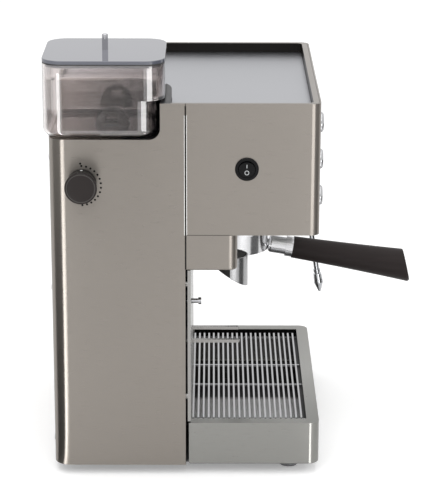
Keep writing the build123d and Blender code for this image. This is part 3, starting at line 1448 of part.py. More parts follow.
# pressure gauge with its own needle
gauge_proud = 3.0
gauge_rim = 2.0
gauge_depth = 22.0
gauge_can_radius = gauge_radius - sheet - gap
needle_length = 15.0
needle_width = 1.6
needle_tail = 5.0
needle_thick = 0.8
needle_hub = 2.2
dial_depth = 2.4
needle_rest = 225.0
with BuildPart() as pressure_gauge:
    with BuildSketch(Plane.XZ.offset(-front_y)):
        with Locations((gauge_x, gauge_z)):
            Circle(gauge_radius)
    extrude(amount=gauge_proud)
    chamfer(pressure_gauge.faces().sort_by(Axis.Y)[0].edges(), gauge_rim / 2)
    with BuildSketch(Plane.XZ.offset(-front_y)):
        with Locations((gauge_x, gauge_z)):
            Circle(gauge_can_radius)
    extrude(amount=-gauge_depth)
    with BuildSketch(Plane.XZ.offset(-front_y + gauge_proud + overrun)):
        with Locations((gauge_x, gauge_z)):
            Circle(gauge_radius - gauge_rim)
    extrude(amount=-(dial_depth + overrun), mode=Mode.SUBTRACT)
    with BuildSketch(Plane.XZ.offset(-front_y + overrun)):
        with Locations((gauge_x, gauge_z)):
            Circle(spindle_radius / 3)
    extrude(amount=-(gauge_depth - overrun), mode=Mode.SUBTRACT)
pressure_gauge.part.label = "pressure_gauge"
export_step(pressure_gauge.part, "parts/pressure_gauge.step")

needle_y = front_y - gauge_proud + dial_depth - gap
with BuildPart() as gauge_needle:
    with BuildSketch(Plane.XZ):
        with Locations((0, (needle_length - needle_tail) / 2)):
            Rectangle(needle_width, needle_length + needle_tail)
        Circle(needle_hub)
    extrude(amount=needle_thick)
    with BuildSketch(Plane.XZ):
        Circle(spindle_radius / 3 - gap / 3)
    extrude(amount=-gauge_depth / 3)
gauge_needle.part.locate(Location((gauge_x, needle_y, gauge_z), (0, needle_rest, 0)))
gauge_needle.part.label = "gauge_needle"
export_step(gauge_needle.part, "parts/gauge_needle.step")

# steam valve behind the far side, and its knob outside
valve_length = 34.0
valve_half = 11.0
valve_bore_depth = 10.0
steam_knob_radius = 17.0
steam_knob_length = 18.0
steam_knob_edge = 2.0
flute_count = 12
flute_radius = 3.0
wand_cup_top = upper_box_bottom - gap
with BuildPart() as steam_valve:
    with BuildSketch(Plane.YZ.offset(right_x - sheet)):
        with Locations((wand_y, steam_z)):
            Rectangle(2 * valve_half, 2 * valve_half)
    extrude(amount=-valve_length)
    with BuildSketch(Plane.YZ.offset(right_x)):
        with Locations((wand_y, steam_z)):
            Circle(spindle_radius + gap / 3)
    extrude(amount=-(sheet + valve_bore_depth + gap), mode=Mode.SUBTRACT)
    with BuildSketch(Plane.XY.offset(wand_cup_top)):
        with Locations((wand_x, wand_y)):
            Circle(wand_stub_radius)
    extrude(amount=steam_z - wand_cup_top - valve_half)
steam_valve.part.label = "steam_valve"
export_step(steam_valve.part, "parts/steam_valve.step")

with BuildPart() as steam_knob:
    with BuildSketch(Plane.YZ.offset(right_x + knob_gap)):
        with Locations((wand_y, steam_z)):
            Circle(steam_knob_radius)
    extrude(amount=steam_knob_length)
    chamfer(steam_knob.faces().sort_by(Axis.X)[-1].edges(), steam_knob_edge)
    with BuildSketch(Plane.YZ.offset(right_x + knob_gap + steam_knob_edge)):
        with Locations((wand_y, steam_z)):
            with PolarLocations(steam_knob_radius + flute_radius / 2, flute_count):
                Circle(flute_radius)
    extrude(amount=steam_knob_length, mode=Mode.SUBTRACT)
    with BuildSketch(Plane.YZ.offset(right_x + knob_gap)):
        with Locations((wand_y, steam_z)):
            Circle(spindle_radius)
    extrude(amount=-(knob_gap + sheet + valve_bore_depth))
steam_knob.part.label = "steam_knob"
export_step(steam_knob.part, "parts/steam_knob.step")

# wand collar: the cup that holds the ball, turning under the floor
cup_radius = 12.0
cup_height = 9.0
ball_drop = 9.4
ball_z = upper_box_bottom - ball_drop
with BuildPart() as wand_collar:
    with BuildSketch(Plane.XY.offset(wand_cup_top - cup_height + gap)):
        with Locations((wand_x, wand_y)):
            Circle(cup_radius)
    extrude(amount=cup_height - gap)
    with Locations((wand_x, wand_y, ball_z)):
        Sphere(wand_ball_radius + gap, mode=Mode.SUBTRACT)
    with BuildSketch(Plane.XY.offset(ball_z)):
        with Locations((wand_x, wand_y)):
            Circle(wand_stub_radius + gap)
    extrude(amount=2 * cup_height, mode=Mode.SUBTRACT)
wand_collar.part.label = "wand_collar"
export_step(wand_collar.part, "parts/wand_collar.step")

# steam wand: ball, tube forward and down, then the tip on the same line
wand_tube_radius = 3.0
knee_forward = 22.2
knee_drop = 46.5
wand_lean = 8.8
wand_low_length = 63.5
tip_length = 26.0
tip_radius = 5.2
tip_shoulder_radius = 4.5
tip_ring_radius = 3.9
tip_belly_share = 0.6
tip_end_radius = 1.4
wand_bend = 30.0
lean_dir = (0, -sin(radians(wand_lean)), -cos(radians(wand_lean)))
knee = (wand_x, wand_y - knee_forward, ball_z - knee_drop)
tube_end = (wand_x, knee[1] + lean_dir[1] * wand_low_length, knee[2] + lean_dir[2] * wand_low_length)
with BuildPart() as steam_wand:
    with BuildLine() as wand_path:
        FilletPolyline((wand_x, wand_y, ball_z), knee, tube_end, radius=wand_bend)
    with BuildSketch(Plane(origin=wand_path.line @ 0, z_dir=wand_path.line % 0)):
        Circle(wand_tube_radius)
    sweep()
    with Locations((wand_x, wand_y, ball_z)):
        Sphere(wand_ball_radius)
steam_wand.part.label = "steam_wand"
export_step(steam_wand.part, "parts/steam_wand.step")

tip_plane = Plane(origin=tube_end, x_dir=lean_dir, z_dir=(1, 0, 0))
ring_end = tip_length / 8
neck_end = tip_length / 5
tip_belly = tip_length * tip_belly_share
with BuildPart() as wand_tip:
    with BuildSketch(tip_plane):
        with BuildLine():
            Polyline((0, 0), (0, tip_ring_radius), (ring_end, tip_ring_radius),
                     (ring_end, wand_tube_radius), (neck_end, wand_tube_radius),
                     (neck_end, tip_shoulder_radius), (tip_belly, tip_radius),
                     (tip_length, tip_end_radius), (tip_length, 0), close=True)
        make_face()
    revolve(axis=Axis(origin=tube_end, direction=lean_dir))
wand_tip.part.label = "wand_tip"
export_step(wand_tip.part, "parts/wand_tip.step")

# drip tray: walls with a low skirt, a floor, a broad rim, and ledges for the grille's cross wires
tray_corner = 10.0
tray_rim = 12.5
tray_rear_rim = 2.0
tray_edge = 1.0
lip_depth = 8.4
ledge_width = 3.0
tray_floor_bottom = base_top + gap
tray_length = tray_rear_y - tray_front_y
well_width = body_width - 2 * tray_rim
well_front_y = front_y + tray_rim - tray_proud
well_rear_y = tray_rear_y - tray_rear_rim
well_mid_y = (well_front_y + well_rear_y) / 2
well_length = well_rear_y - well_front_y


def tray_area(inset):
    """The tray's plan, drawn in by an inset."""
    with BuildSketch() as area:
        with Locations((0, (tray_front_y + tray_rear_y) / 2)):
            Rectangle(body_width - 2 * inset, tray_length - 2 * inset)
        fillet(area.vertices().group_by(Axis.Y)[0], tray_corner - inset)
    return area.sketch


with BuildPart() as drip_tray:
    with BuildSketch(Plane.XY.offset(tray_bottom)):
        add(tray_area(0))
    extrude(amount=tray_height)
    chamfer(drip_tray.edges().group_by(Axis.Z)[0], tray_edge)
    with BuildSketch(Plane.XY.offset(tray_floor_bottom + tray_wall)):
        add(tray_area(tray_wall))
    extrude(amount=tray_top - tray_wall - tray_floor_bottom - tray_wall, mode=Mode.SUBTRACT)
    with BuildSketch(Plane.XY.offset(tray_floor_bottom - overrun)):
        add(tray_area(tray_wall + tray_edge))
        with Locations((0, tray_rear_y - tray_corner)):
            Rectangle(body_width - 2 * (tray_wall + tray_edge), tray_corner + overrun,
                      align=(Align.CENTER, Align.MIN))
    extrude(amount=overrun, mode=Mode.SUBTRACT)
    with BuildSketch(Plane.XY.offset(tray_top - tray_wall - overrun)):
        with Locations((0, well_mid_y)):
            RectangleRounded(well_width, well_length, tray_edge)
    extrude(amount=2 * overrun, mode=Mode.SUBTRACT)
    with BuildSketch(Plane.XY.offset(tray_top - lip_depth)):
        with Locations((0, well_mid_y)):
            Rectangle(well_width + 2 * thin_sheet, well_length + 2 * thin_sheet)
            Rectangle(well_width, well_length, mode=Mode.SUBTRACT)
    extrude(amount=lip_depth)
    with BuildSketch(Plane.XY.offset(tray_top - lip_depth)):
        with Locations(*[(0, well_mid_y + side * (well_length - ledge_width) / 2) for side in (-1, 1)]):
            Rectangle(well_width, ledge_width)
    extrude(amount=thin_sheet)
drip_tray.part.label = "drip_tray"
export_step(drip_tray.part, "parts/drip_tray.step")

# drip grille: bars across the tray on cross wires that rest on the ledges
bar_pitch = 5.22
bar_width = 1.8
bar_height = 3.2
bar_side_gap = 7.5
bar_rear_gap = 2.15
bar_count = int((well_length - bar_pitch) // bar_pitch) + 1
wire_width = 2.0
wire_shares = (-0.908, -0.185, 0.251, 0.908)
wire_bottom = tray_top - lip_depth + thin_sheet
bar_first_y = well_rear_y - bar_rear_gap
with BuildPart() as drip_grille:
    with BuildSketch(Plane.XY.offset(wire_bottom + wire_width)):
        for bar in range(bar_count):
            with Locations((0, bar_first_y - bar * bar_pitch)):
                Rectangle(well_width - 2 * bar_side_gap, bar_width)
    extrude(amount=bar_height)
    with BuildSketch(Plane.XY.offset(wire_bottom)):
        with Locations(*[(share * well_width / 2, well_mid_y) for share in wire_shares]):
            Rectangle(wire_width, well_length - 2 * gap)
    extrude(amount=wire_width)
drip_grille.part.label = "drip_grille"
export_step(drip_grille.part, "parts/drip_grille.step")

# power inlet in the rear, with three pins
flange_width = 40.0
flange_height = 26.0
flange_thick = 2.0
inlet_depth = 24.0
inlet_recess = 17.0
pin_width = 2.0
pin_height = 4.0
pin_gap = 7.0
pin_length = 14.0
inlet_wall = 2.0
with BuildPart() as power_inlet:
    with BuildSketch(Plane.XZ.offset(-rear_y)):
        with Locations((inlet_x, inlet_z)):
            RectangleRounded(flange_width, flange_height, inlet_wall)
    extrude(amount=-flange_thick)
    with BuildSketch(Plane.XZ.offset(-rear_y)):
        with Locations((inlet_x, inlet_z)):
            Rectangle(inlet_width, inlet_height)
    extrude(amount=inlet_depth)
    with BuildSketch(Plane.XZ.offset(-rear_y - flange_thick - overrun)):
        with Locations((inlet_x, inlet_z)):
            RectangleRounded(inlet_width - 2 * inlet_wall, inlet_height - 2 * inlet_wall, inlet_wall)
    extrude(amount=overrun + flange_thick + inlet_recess, mode=Mode.SUBTRACT)
    with BuildSketch(Plane.XZ.offset(-rear_y + inlet_recess)):
        with Locations((inlet_x - pin_gap, inlet_z - inlet_wall), (inlet_x, inlet_z + inlet_wall),
                       (inlet_x + pin_gap, inlet_z - inlet_wall)):
            Rectangle(pin_width, pin_height)
    extrude(amount=-pin_length)
power_inlet.part.label = "power_inlet"
export_step(power_inlet.part, "parts/power_inlet.step")

# case screws in the rear panel
screw_radius = 3.2
screw_head = 0.8
screw_edge = 0.3
screw_inset = 22.0
socket_radius = 1.4
rear_screws = [(side * (right_x - screw_inset), z) for side in (-1, 1)
               for z in (foot_height + screw_inset, body_top / 2, notch_floor - screw_inset)]
with BuildPart() as case_screws:
    with BuildSketch(Plane.XZ.offset(-rear_y)):
        with Locations(*rear_screws):
            Circle(screw_radius)
    extrude(amount=-screw_head)
    chamfer(case_screws.faces().group_by(Axis.Y)[-1].edges(), screw_edge)
    with BuildSketch(Plane.XZ.offset(-rear_y - screw_head)):
        with Locations(*rear_screws):
            RegularPolygon(socket_radius, 6)
    extrude(amount=screw_head / 2, mode=Mode.SUBTRACT)
case_screws.part.label = "case_screws"
export_step(case_screws.part, "parts/case_screws.step")
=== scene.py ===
from math import cos, pi, radians, sin

import bmesh
import bpy
import numpy as np
from bpy.props import FloatProperty, FloatVectorProperty, IntProperty, PointerProperty
from bpy.types import Operator, Panel, PropertyGroup
from mathutils import Matrix, Vector


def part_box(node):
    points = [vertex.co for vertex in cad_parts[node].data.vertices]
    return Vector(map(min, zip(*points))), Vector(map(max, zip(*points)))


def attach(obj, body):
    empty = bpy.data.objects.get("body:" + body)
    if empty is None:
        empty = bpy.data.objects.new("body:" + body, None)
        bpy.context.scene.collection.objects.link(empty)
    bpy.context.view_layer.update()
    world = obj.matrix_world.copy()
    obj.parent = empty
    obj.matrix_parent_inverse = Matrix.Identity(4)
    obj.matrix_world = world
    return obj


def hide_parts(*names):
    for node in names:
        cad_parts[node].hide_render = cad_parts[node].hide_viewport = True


bl_info = {
    "name": "Espresso machine with grinder",
    "version": (1, 0, 0),
    "blender": (4, 5, 0),
    "location": "3D View > Sidebar > Espresso",
    "description": "Finishes and small details of an espresso machine with a built-in grinder",
    "category": "Object",
}

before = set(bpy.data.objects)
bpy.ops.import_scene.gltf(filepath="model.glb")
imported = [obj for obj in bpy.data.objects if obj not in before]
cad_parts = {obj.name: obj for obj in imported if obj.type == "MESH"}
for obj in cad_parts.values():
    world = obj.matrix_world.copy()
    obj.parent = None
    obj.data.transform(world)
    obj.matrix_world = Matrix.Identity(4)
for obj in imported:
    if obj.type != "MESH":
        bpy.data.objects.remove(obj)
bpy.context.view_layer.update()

# places that the frame gives, in metres
PANEL_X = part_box("front_casing")[0].x
FRONT_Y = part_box("front_casing")[0].y
COLUMN_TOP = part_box("column_casing")[1].z
BOX_LOW, BOX_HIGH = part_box("grinder_box")

# places of the seam and the controls, in metres
SEAM_Y = -0.0010
KNOB_Y, KNOB_Z = 0.0991, 0.3050
KNOB_SEAT_X = -0.1490
ROCKER_PIVOT = Vector((-0.1474, -0.0603, 0.3188))
GAUGE_X, GAUGE_Z = -0.0300, 0.3185

# how the brushing noise is stretched: long along X and Y, fine upright
BRUSHING = (55.0, 55.0, 1700.0)


def colour(name, note, default):
    """A colour property with its name, its note and its default."""
    return FloatVectorProperty(
        name=name, description=note, default=default, size=3, min=0, max=1, subtype="COLOR"
    )


def length(name, note, default):
    """A length property in metres."""
    return FloatProperty(name=name, description=note, default=default, min=0, unit="LENGTH", precision=5)


class MachineColours(PropertyGroup):
    """Colours of the machine's finishes."""

    casing: colour("Casing", "Brushed steel of the panels", (0.298, 0.273, 0.247))
    tray: colour("Tray", "Brushed steel of the drip tray", (0.315, 0.312, 0.296))
    cup_plate: colour("Cup plate", "Polished steel under the cups", (0.410, 0.416, 0.440))
    chrome: colour("Chrome", "Plated fittings", (0.60, 0.61, 0.63))
    hopper: colour("Hopper", "Smoked clear plastic", (0.62, 0.575, 0.57))
    lid: colour("Lid", "Clear lid of the hopper", (0.105, 0.110, 0.138))
    handle: colour("Handle", "Dark brown moulded handle", (0.024, 0.0185, 0.0180))
    black: colour("Black plastic", "Switch, knobs and small mouldings", (0.0045, 0.0045, 0.005))
    marks: colour("Printed marks", "White marks on black plastic", (0.62, 0.64, 0.65))


class MachineSizes(PropertyGroup):
    """Sizes of the small details."""

    dot_ring: length("Dot ring", "Radius of the ring of dots round the grind knob", 0.0197)
    dot_radius: length("Dot", "Radius of one printed dot", 0.00105)
    dot_count: IntProperty(name="Dots", description="Number of printed dots", default=14, min=2)
    knurl_count: IntProperty(name="Knurls", description="Ridges round the grind knob", default=60, min=8)
    knurl_depth: length("Knurl depth", "Depth of the ridges", 0.0005)
    mark_height: length("Switch mark", "Height of the marks on the rocker", 0.0040)
    print_lift: length("Print lift", "How far printed marks stand off", 0.00008)


class StudioSettings(PropertyGroup):
    """Camera and light."""

    camera_place: FloatVectorProperty(
        name="Camera place",
        description="Where the camera stands",
        default=(-2.0692, -0.0270, 0.8329),
        size=3,
        subtype="TRANSLATION",
    )
    pitch: FloatProperty(name="Pitch", description="Downward tilt", default=radians(17.23), subtype="ANGLE")
    yaw: FloatProperty(name="Yaw", description="Turn to the right", default=0.0047, subtype="ANGLE")
    roll: FloatProperty(name="Roll", description="Lean of the frame", default=0.0032, subtype="ANGLE")
    lens: FloatProperty(name="Lens", description="Focal length in millimetres", default=148.27, min=1)
    key_power: FloatProperty(
        name="Key", description="Power of the soft key lamp", default=22.0, unit="POWER"
    )
    fill_light: FloatProperty(
        name="Fill", description="Strength of the surround on matt things", default=0.78
    )


class Wire:
    """A socket that works in Python expressions: each operator adds one Math node."""

    def __init__(self, finish, socket):
        self.finish = finish
        self.socket = socket

    def maths(self, operation, first, second):
        """One Math node on two values."""
        return self.finish.node("ShaderNodeMath", {"operation": operation}, {0: first, 1: second})

    def __add__(self, other):
        return self.maths("ADD", self, other)

    __radd__ = __add__

    def __mul__(self, other):
        return self.maths("MULTIPLY", self, other)

    __rmul__ = __mul__

    def __sub__(self, other):
        return self.maths("SUBTRACT", self, other)

    def __rsub__(self, other):
        return self.maths("SUBTRACT", other, self)

    def __gt__(self, other):
        return self.maths("GREATER_THAN", self, other)

    def __lt__(self, other):
        return self.maths("LESS_THAN", self, other)

    def peak(self, other):
        """The larger of the two."""
        return self.maths("MAXIMUM", self, other)


class Finish:
    """A node tree in the making; node() adds any node and returns its output as a Wire."""

    def __init__(self, owner):
        owner.use_nodes = True
        self.owner = owner
        self.tree = owner.node_tree
        self.tree.nodes.clear()

    def node(self, kind, settings=None, inputs=None, output=0):
        """Adds a node, sets its settings first and then its sockets, from values or wires."""
        made = self.tree.nodes.new(kind)
        for name, value in (settings or {}).items():
            setattr(made, name, value)
        for key, value in (inputs or {}).items():
            if isinstance(value, Wire):
                self.tree.links.new(value.socket, made.inputs[key])
            else:
                made.inputs[key].default_value = value
        return Wire(self, made.outputs[output]) if len(made.outputs) else None

    def place(self, scale):
        """Object coordinates, stretched by a scale for each axis."""
        spot = self.node("ShaderNodeTexCoord", output="Object")
        return self.node("ShaderNodeMapping", None, {"Vector": spot, "Scale": scale})

    def noise(self, scale, detail=2.0, rough=0.5):
        """Noise on object coordinates, from 0 to 1."""
        spot = self.place(scale)
        return self.node(
            "ShaderNodeTexNoise", None, {"Vector": spot, "Scale": 1.0, "Detail": detail, "Roughness": rough}
        )

    def axis(self, name):
        """One part of the object coordinates: X, Y or Z."""
        spot = self.node("ShaderNodeTexCoord", output="Object")
        return self.node("ShaderNodeSeparateXYZ", None, {"Vector": spot}, output=name)

    def ramp(self, value, low, high):
        """Rises from 0 at low to 1 at high."""
        return self.node("ShaderNodeMapRange", None, {"Value": value, "From Min": low, "From Max": high})

    def mix(self, factor, low, high):
        """Blends two colours."""
        return self.node(
            "ShaderNodeMix",
            {"data_type": "RGBA"},
            {"Factor": factor, 6: shade(low), 7: shade(high)},
            output=2,
        )

    def bump(self, height, strength, distance):
        """A normal from a height."""
        return self.node(
            "ShaderNodeBump", None, {"Height": height, "Strength": strength, "Distance": distance}
        )

    def surface(self, **sockets):
        """The Principled shader and the output, the last step of a finish."""
        inputs = {}
        for key, value in sockets.items():
            inputs[key.replace("_", " ").title().replace("Ior", "IOR")] = shade(value)
        body = self.node("ShaderNodeBsdfPrincipled", None, inputs)
        self.node("ShaderNodeOutputMaterial", None, {"Surface": body})
        return self.owner


def shade(value):
    """A colour gets its alpha; anything else stays as it is."""
    return (*value, 1.0) if isinstance(value, (tuple, list)) and len(value) == 3 else value


def tint(base, factor):
    """A colour made lighter or darker."""
    return tuple(min(part * factor, 1.0) for part in base)


def start_finish(name):
    """A new material and its node tree."""
    return Finish(bpy.data.materials.new(name))


def brushed_steel(name, base, grain, rough=0.30, spread=0.05):
    """Satin steel: fine parallel lines along one direction over slow clouds."""
    made = start_finish(name)
    lines = made.noise(grain, 3.0, 0.6)
    clouds = made.noise((9.0, 9.0, 14.0), 2.0)
    blend = lines * 0.65 + clouds * 0.35
    return made.surface(
        base_color=made.mix(blend, tint(base, 1 - spread), tint(base, 1 + spread)),
        metallic=1.0,
        roughness=lines * 0.14 + (rough - 0.07),
        anisotropic=0.85,
        anisotropic_rotation=0.25,
        normal=made.bump(lines, 0.10, 0.00004),
    )


def polished_steel(name, base, rough=0.10):
    """Bright rolled steel with faint wiping marks."""
    made = start_finish(name)
    wipe = made.noise((22.0, 30.0, 22.0), 4.0, 0.6)
    return made.surface(
        base_color=made.mix(wipe, tint(base, 0.975), tint(base, 1.02)),
        metallic=1.0,
        roughness=wipe * 0.06 + (rough - 0.03),
    )


def chrome_plate(name, base, rough=0.05):
    """Mirror plating with a little haze."""
    made = start_finish(name)
    haze = made.noise((60.0, 60.0, 60.0), 3.0)
    return made.surface(
        base_color=made.mix(haze, tint(base, 0.97), tint(base, 1.02)),
        metallic=1.0,
        roughness=haze * 0.05 + (rough - 0.02),
    )


def moulded_plastic(name, base, rough=0.40, gloss=0.5, grain=900.0, depth=0.00003):
    """Moulded plastic with a fine spark-eroded grain."""
    made = start_finish(name)
    skin = made.noise((grain, grain, grain), 2.0)
    cloud = made.noise((35.0, 35.0, 35.0), 2.0)
    return made.surface(
        base_color=made.mix(cloud, tint(base, 0.88), tint(base, 1.14)),
        roughness=cloud * 0.08 + (rough - 0.04),
        specular_ior_level=gloss,
        normal=made.bump(skin, 0.25, depth),
    )


def cast_metal(name, base, rough=0.45):
    """Cast or turned metal with a sandy skin."""
    made = start_finish(name)
    skin = made.noise((420.0, 420.0, 420.0), 3.0)
    return made.surface(
        base_color=made.mix(skin, tint(base, 0.85), tint(base, 1.1)),
        metallic=1.0,
        roughness=skin * 0.12 + (rough - 0.06),
        normal=made.bump(skin, 0.35, 0.00008),
    )


def clear_plastic(name, base, rough=0.02, bend=1.46):
    """Clear tinted plastic with faint flow marks."""
    made = start_finish(name)
    flow = made.noise((12.0, 12.0, 20.0), 2.0)
    return made.surface(
        base_color=made.mix(flow, tint(base, 0.96), tint(base, 1.03)),
        transmission_weight=1.0,
        roughness=rough,
        ior=bend,
    )


def printed(name, base):
    """Flat printing ink."""
    made = start_finish(name)
    ink = made.noise((1500.0, 1500.0, 1500.0), 1.0)
    return made.surface(
        base_color=made.mix(ink, tint(base, 0.93), tint(base, 1.05)), roughness=0.6, specular_ior_level=0.1
    )


def dress(finish, *nodes):
    """Gives CAD nodes their finish."""
    for node in nodes:
        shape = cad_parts[node].data
        shape.materials.clear()
        shape.materials.append(finish)


def grid_faces(rows, columns):
    """The quads of a grid, as indices into its points."""
    index = np.arange(rows * columns).reshape(rows, columns)
    return np.stack([index[:-1, :-1], index[:-1, 1:], index[1:, 1:], index[1:, :-1]], -1)


def grid_piece(name, patches, finish, body, replaced=()):
    """One object from grids of points, each an array of rows x columns x 3.

    Neighbouring points of a grid are joined to quads; points that meet are merged, which closes seams
    and poles.
    """
    points, faces, start = [], [], 0
    for patch in patches:
        rows, columns = patch.shape[:2]
        points.append(patch.reshape(-1, 3))
        faces.append((grid_faces(rows, columns) + start).reshape(-1, 4))
        start += rows * columns
    mesh = bpy.data.meshes.new(name)
    mesh.from_pydata(np.concatenate(points), [], np.concatenate(faces))
    work = bmesh.new()
    work.from_mesh(mesh)
    bmesh.ops.remove_doubles(work, verts=work.verts, dist=1e-7)
    bmesh.ops.recalc_face_normals(work, faces=work.faces)
    work.to_mesh(mesh)
    work.free()
    mesh.shade_smooth()
    mesh.materials.append(finish)
    piece = bpy.data.objects.new(name, mesh)
    bpy.context.scene.collection.objects.link(piece)
    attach(piece, body)
    if replaced:
        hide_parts(*replaced)
    return piece


def flat_patch(corner, along, up, rows=2, columns=2):
    """A flat rectangle: corner + s * along + t * up for s and t from 0 to 1."""
    s, t = np.meshgrid(np.linspace(0, 1, columns), np.linspace(0, 1, rows))
    return np.asarray(corner) + s[..., None] * np.asarray(along) + t[..., None] * np.asarray(up)


def ring_patch(centre, across, up, inner, outer, first=0.0, last=2 * pi, steps=48, rows=2):
    """A flat ring or arc: centre + r * (cos a * across + sin a * up) for r from inner to outer."""
    r, a = np.meshgrid(np.linspace(inner, outer, rows), np.linspace(first, last, steps + 1), indexing="ij")
    return (
        np.asarray(centre)
        + (r * np.cos(a))[..., None] * np.asarray(across)
        + (r * np.sin(a))[..., None] * np.asarray(up)
    )


def dome_patch(centre, across, up, out, radius, rise, steps=16, rows=3):
    """A shallow dome: height = rise * (1 - (r / radius) squared) along out."""
    r, a = np.meshgrid(np.linspace(0, radius, rows), np.linspace(0, 2 * pi, steps + 1), indexing="ij")
    lift = rise * (1 - (r / radius) ** 2)
    return (
        np.asarray(centre)
        + (r * np.cos(a))[..., None] * np.asarray(across)
        + (r * np.sin(a))[..., None] * np.asarray(up)
        + lift[..., None] * np.asarray(out)
    )


class MACHINE_OT_stage(Operator):
    """Floor, surround, lamps and camera"""

    bl_idname = "machine.stage"
    bl_label = "Stage"
    floor_reach = 8.0
    fan_height = 0.001
    # name, corner, nearest and farthest radius, first and last direction in degrees, level
    fans = (
        ("fan_bright_rear", (-0.135, 0.125), 0.02, 1.9, 15.0, 31.0, 5.5),
        ("fan_bright_front", (-0.140, -0.060), 0.70, 1.9, -42.0, -13.0, 5.0),
        ("fan_bright_tray", (-0.146, -0.126), 0.01, 0.30, -24.0, -10.0, 5.0),
        ("fan_grey_rear", (-0.135, 0.125), 0.02, 1.6, 31.5, 100.0, 0.0),
        ("fan_grey_front", (-0.140, -0.100), 0.72, 1.9, -110.0, -45.0, 0.0),
        ("fan_grey_brewing", (-0.140, -0.100), 0.30, 0.715, -104.0, -64.0, 0.14),
        ("fan_grey_hopper", (1.773, -0.027), 3.01, 3.85, 1.2, 4.8, 0.0),
    )

    def execute(self, context):
        studio = context.scene.machine_studio
        self.floor()
        self.surround(studio.fill_light)
        self.lamps(studio)
        self.cards()
        self.camera(context, studio)
        context.scene.view_settings.view_transform = "Standard"
        return {"FINISHED"}

    def floor(self):
        """A flat pale floor, z = 0 on a square."""
        made = start_finish("floor_pale")
        path = made.node("ShaderNodeLightPath", output="Is Camera Ray")
        grain = made.noise((40.0, 40.0, 40.0), 2.0)
        made.surface(
            base_color=made.mix(grain, (0.90, 0.90, 0.90), (0.93, 0.93, 0.93)),
            roughness=0.9,
            specular_ior_level=0.0,
            emission_color=made.mix(path, (0.0, 0.0, 0.0), (1.0, 1.0, 1.0)),
            emission_strength=0.28,
        )
        reach = self.floor_reach
        patch = flat_patch((-reach, -reach, 0.0), (2 * reach, 0.0, 0.0), (0.0, 2 * reach, 0.0), 9, 9)
        self.stand("floor", patch, made.owner)

    def stand(self, name, patch, finish):
        """One grid of points as a studio object."""
        rows, columns = patch.shape[:2]
        mesh = bpy.data.meshes.new(name)
        mesh.from_pydata(patch.reshape(-1, 3), [], grid_faces(rows, columns).reshape(-1, 4))
        mesh.materials.append(finish)
        thing = bpy.data.objects.new(name, mesh)
        bpy.context.scene.collection.objects.link(thing)
        return thing

    def surround(self, fill):
        """White to the camera and in gloss and glass, a plain level of light on everything else."""
        world = bpy.data.worlds.new("surround")
        made = Finish(world)
        camera = made.node("ShaderNodeLightPath", output="Is Camera Ray")
        glossy = made.node("ShaderNodeLightPath", output="Is Glossy Ray")
        through = made.node("ShaderNodeLightPath", output="Is Transmission Ray")
        seen = camera.peak(glossy).peak(through)
        light = made.node(
            "ShaderNodeBackground",
            None,
            {"Color": made.mix(seen, (fill, fill, fill), (1.0, 1.0, 1.0)), "Strength": 1.0},
        )
        made.node("ShaderNodeOutputWorld", None, {"Surface": light})
        bpy.context.scene.world = world

    def lamps(self, studio):
        """A large soft key above the camera, and a softer one overhead."""
        for name, place, size, power in (
            ("key", (-2.2, 0.3, 2.3), (1.8, 1.8), studio.key_power),
            ("top", (0.0, 0.0, 2.6), (2.4, 2.4), studio.key_power * 0.8),
        ):
            lamp = bpy.data.lights.new(name, "AREA")
            lamp.shape = "RECTANGLE"
            lamp.size, lamp.size_y = size
            lamp.energy = power
            stand = bpy.data.objects.new(name, lamp)
            stand.location = place
            aim = Vector((0.0, 0.0, 0.22)) - Vector(place)
            stand.rotation_euler = aim.to_track_quat("-Z", "Y").to_euler()
            stand.visible_camera = False
            bpy.context.scene.collection.objects.link(stand)

    def cards(self):
        """Bright, grey and black fans flat on the floor, seen only in gloss.

        Each is a sector of a ring: corner + r * (-cos a, sin a) for r between two radii and a between two
        directions, counted from the grinder's side, + towards the rear.
        """
        for name, corner, near, far, first, last, level in self.fans:
            made = start_finish(name)
            cloud = made.noise((3.0, 3.0, 3.0), 2.0)
            made.surface(
                base_color=made.mix(cloud, (0.0, 0.0, 0.0), (0.01, 0.01, 0.01)),
                roughness=0.9,
                specular_ior_level=0.0,
                emission_color=made.mix(cloud, (0.95, 0.95, 0.95), (1.0, 1.0, 1.0)),
                emission_strength=level,
            )
            centre = (*corner, self.fan_height)
            ends = radians(first), radians(last)
            patch = ring_patch(centre, (-1, 0, 0), (0, 1, 0), near, far, *ends, 8, 6)
            card = self.stand(name, patch, made.owner)
            for kind in ("camera", "diffuse", "transmission", "shadow"):
                setattr(card, f"visible_{kind}", False)

    def camera(self, context, studio):
        """The photograph's camera: right, up and back are turned from its pitch, yaw and roll."""
        pitch, yaw, roll = studio.pitch, studio.yaw, studio.roll
        forward = Vector((cos(pitch) * cos(yaw), -cos(pitch) * sin(yaw), -sin(pitch)))
        side = Vector((-sin(yaw), -cos(yaw), 0.0))
        rise = Vector((sin(pitch) * cos(yaw), -sin(pitch) * sin(yaw), cos(pitch)))
        right = cos(roll) * side + sin(roll) * rise
        up = cos(roll) * rise - sin(roll) * side
        turn = Matrix((right, up, -forward)).transposed()
        data = bpy.data.cameras.new("camera")
        data.lens = studio.lens
        data.sensor_width = 36.0
        data.clip_start, data.clip_end = 0.05, 50.0
        camera = bpy.data.objects.new("camera", data)
        camera.matrix_world = Matrix.Translation(studio.camera_place) @ turn.to_4x4()
        context.scene.collection.objects.link(camera)
        context.scene.camera = camera


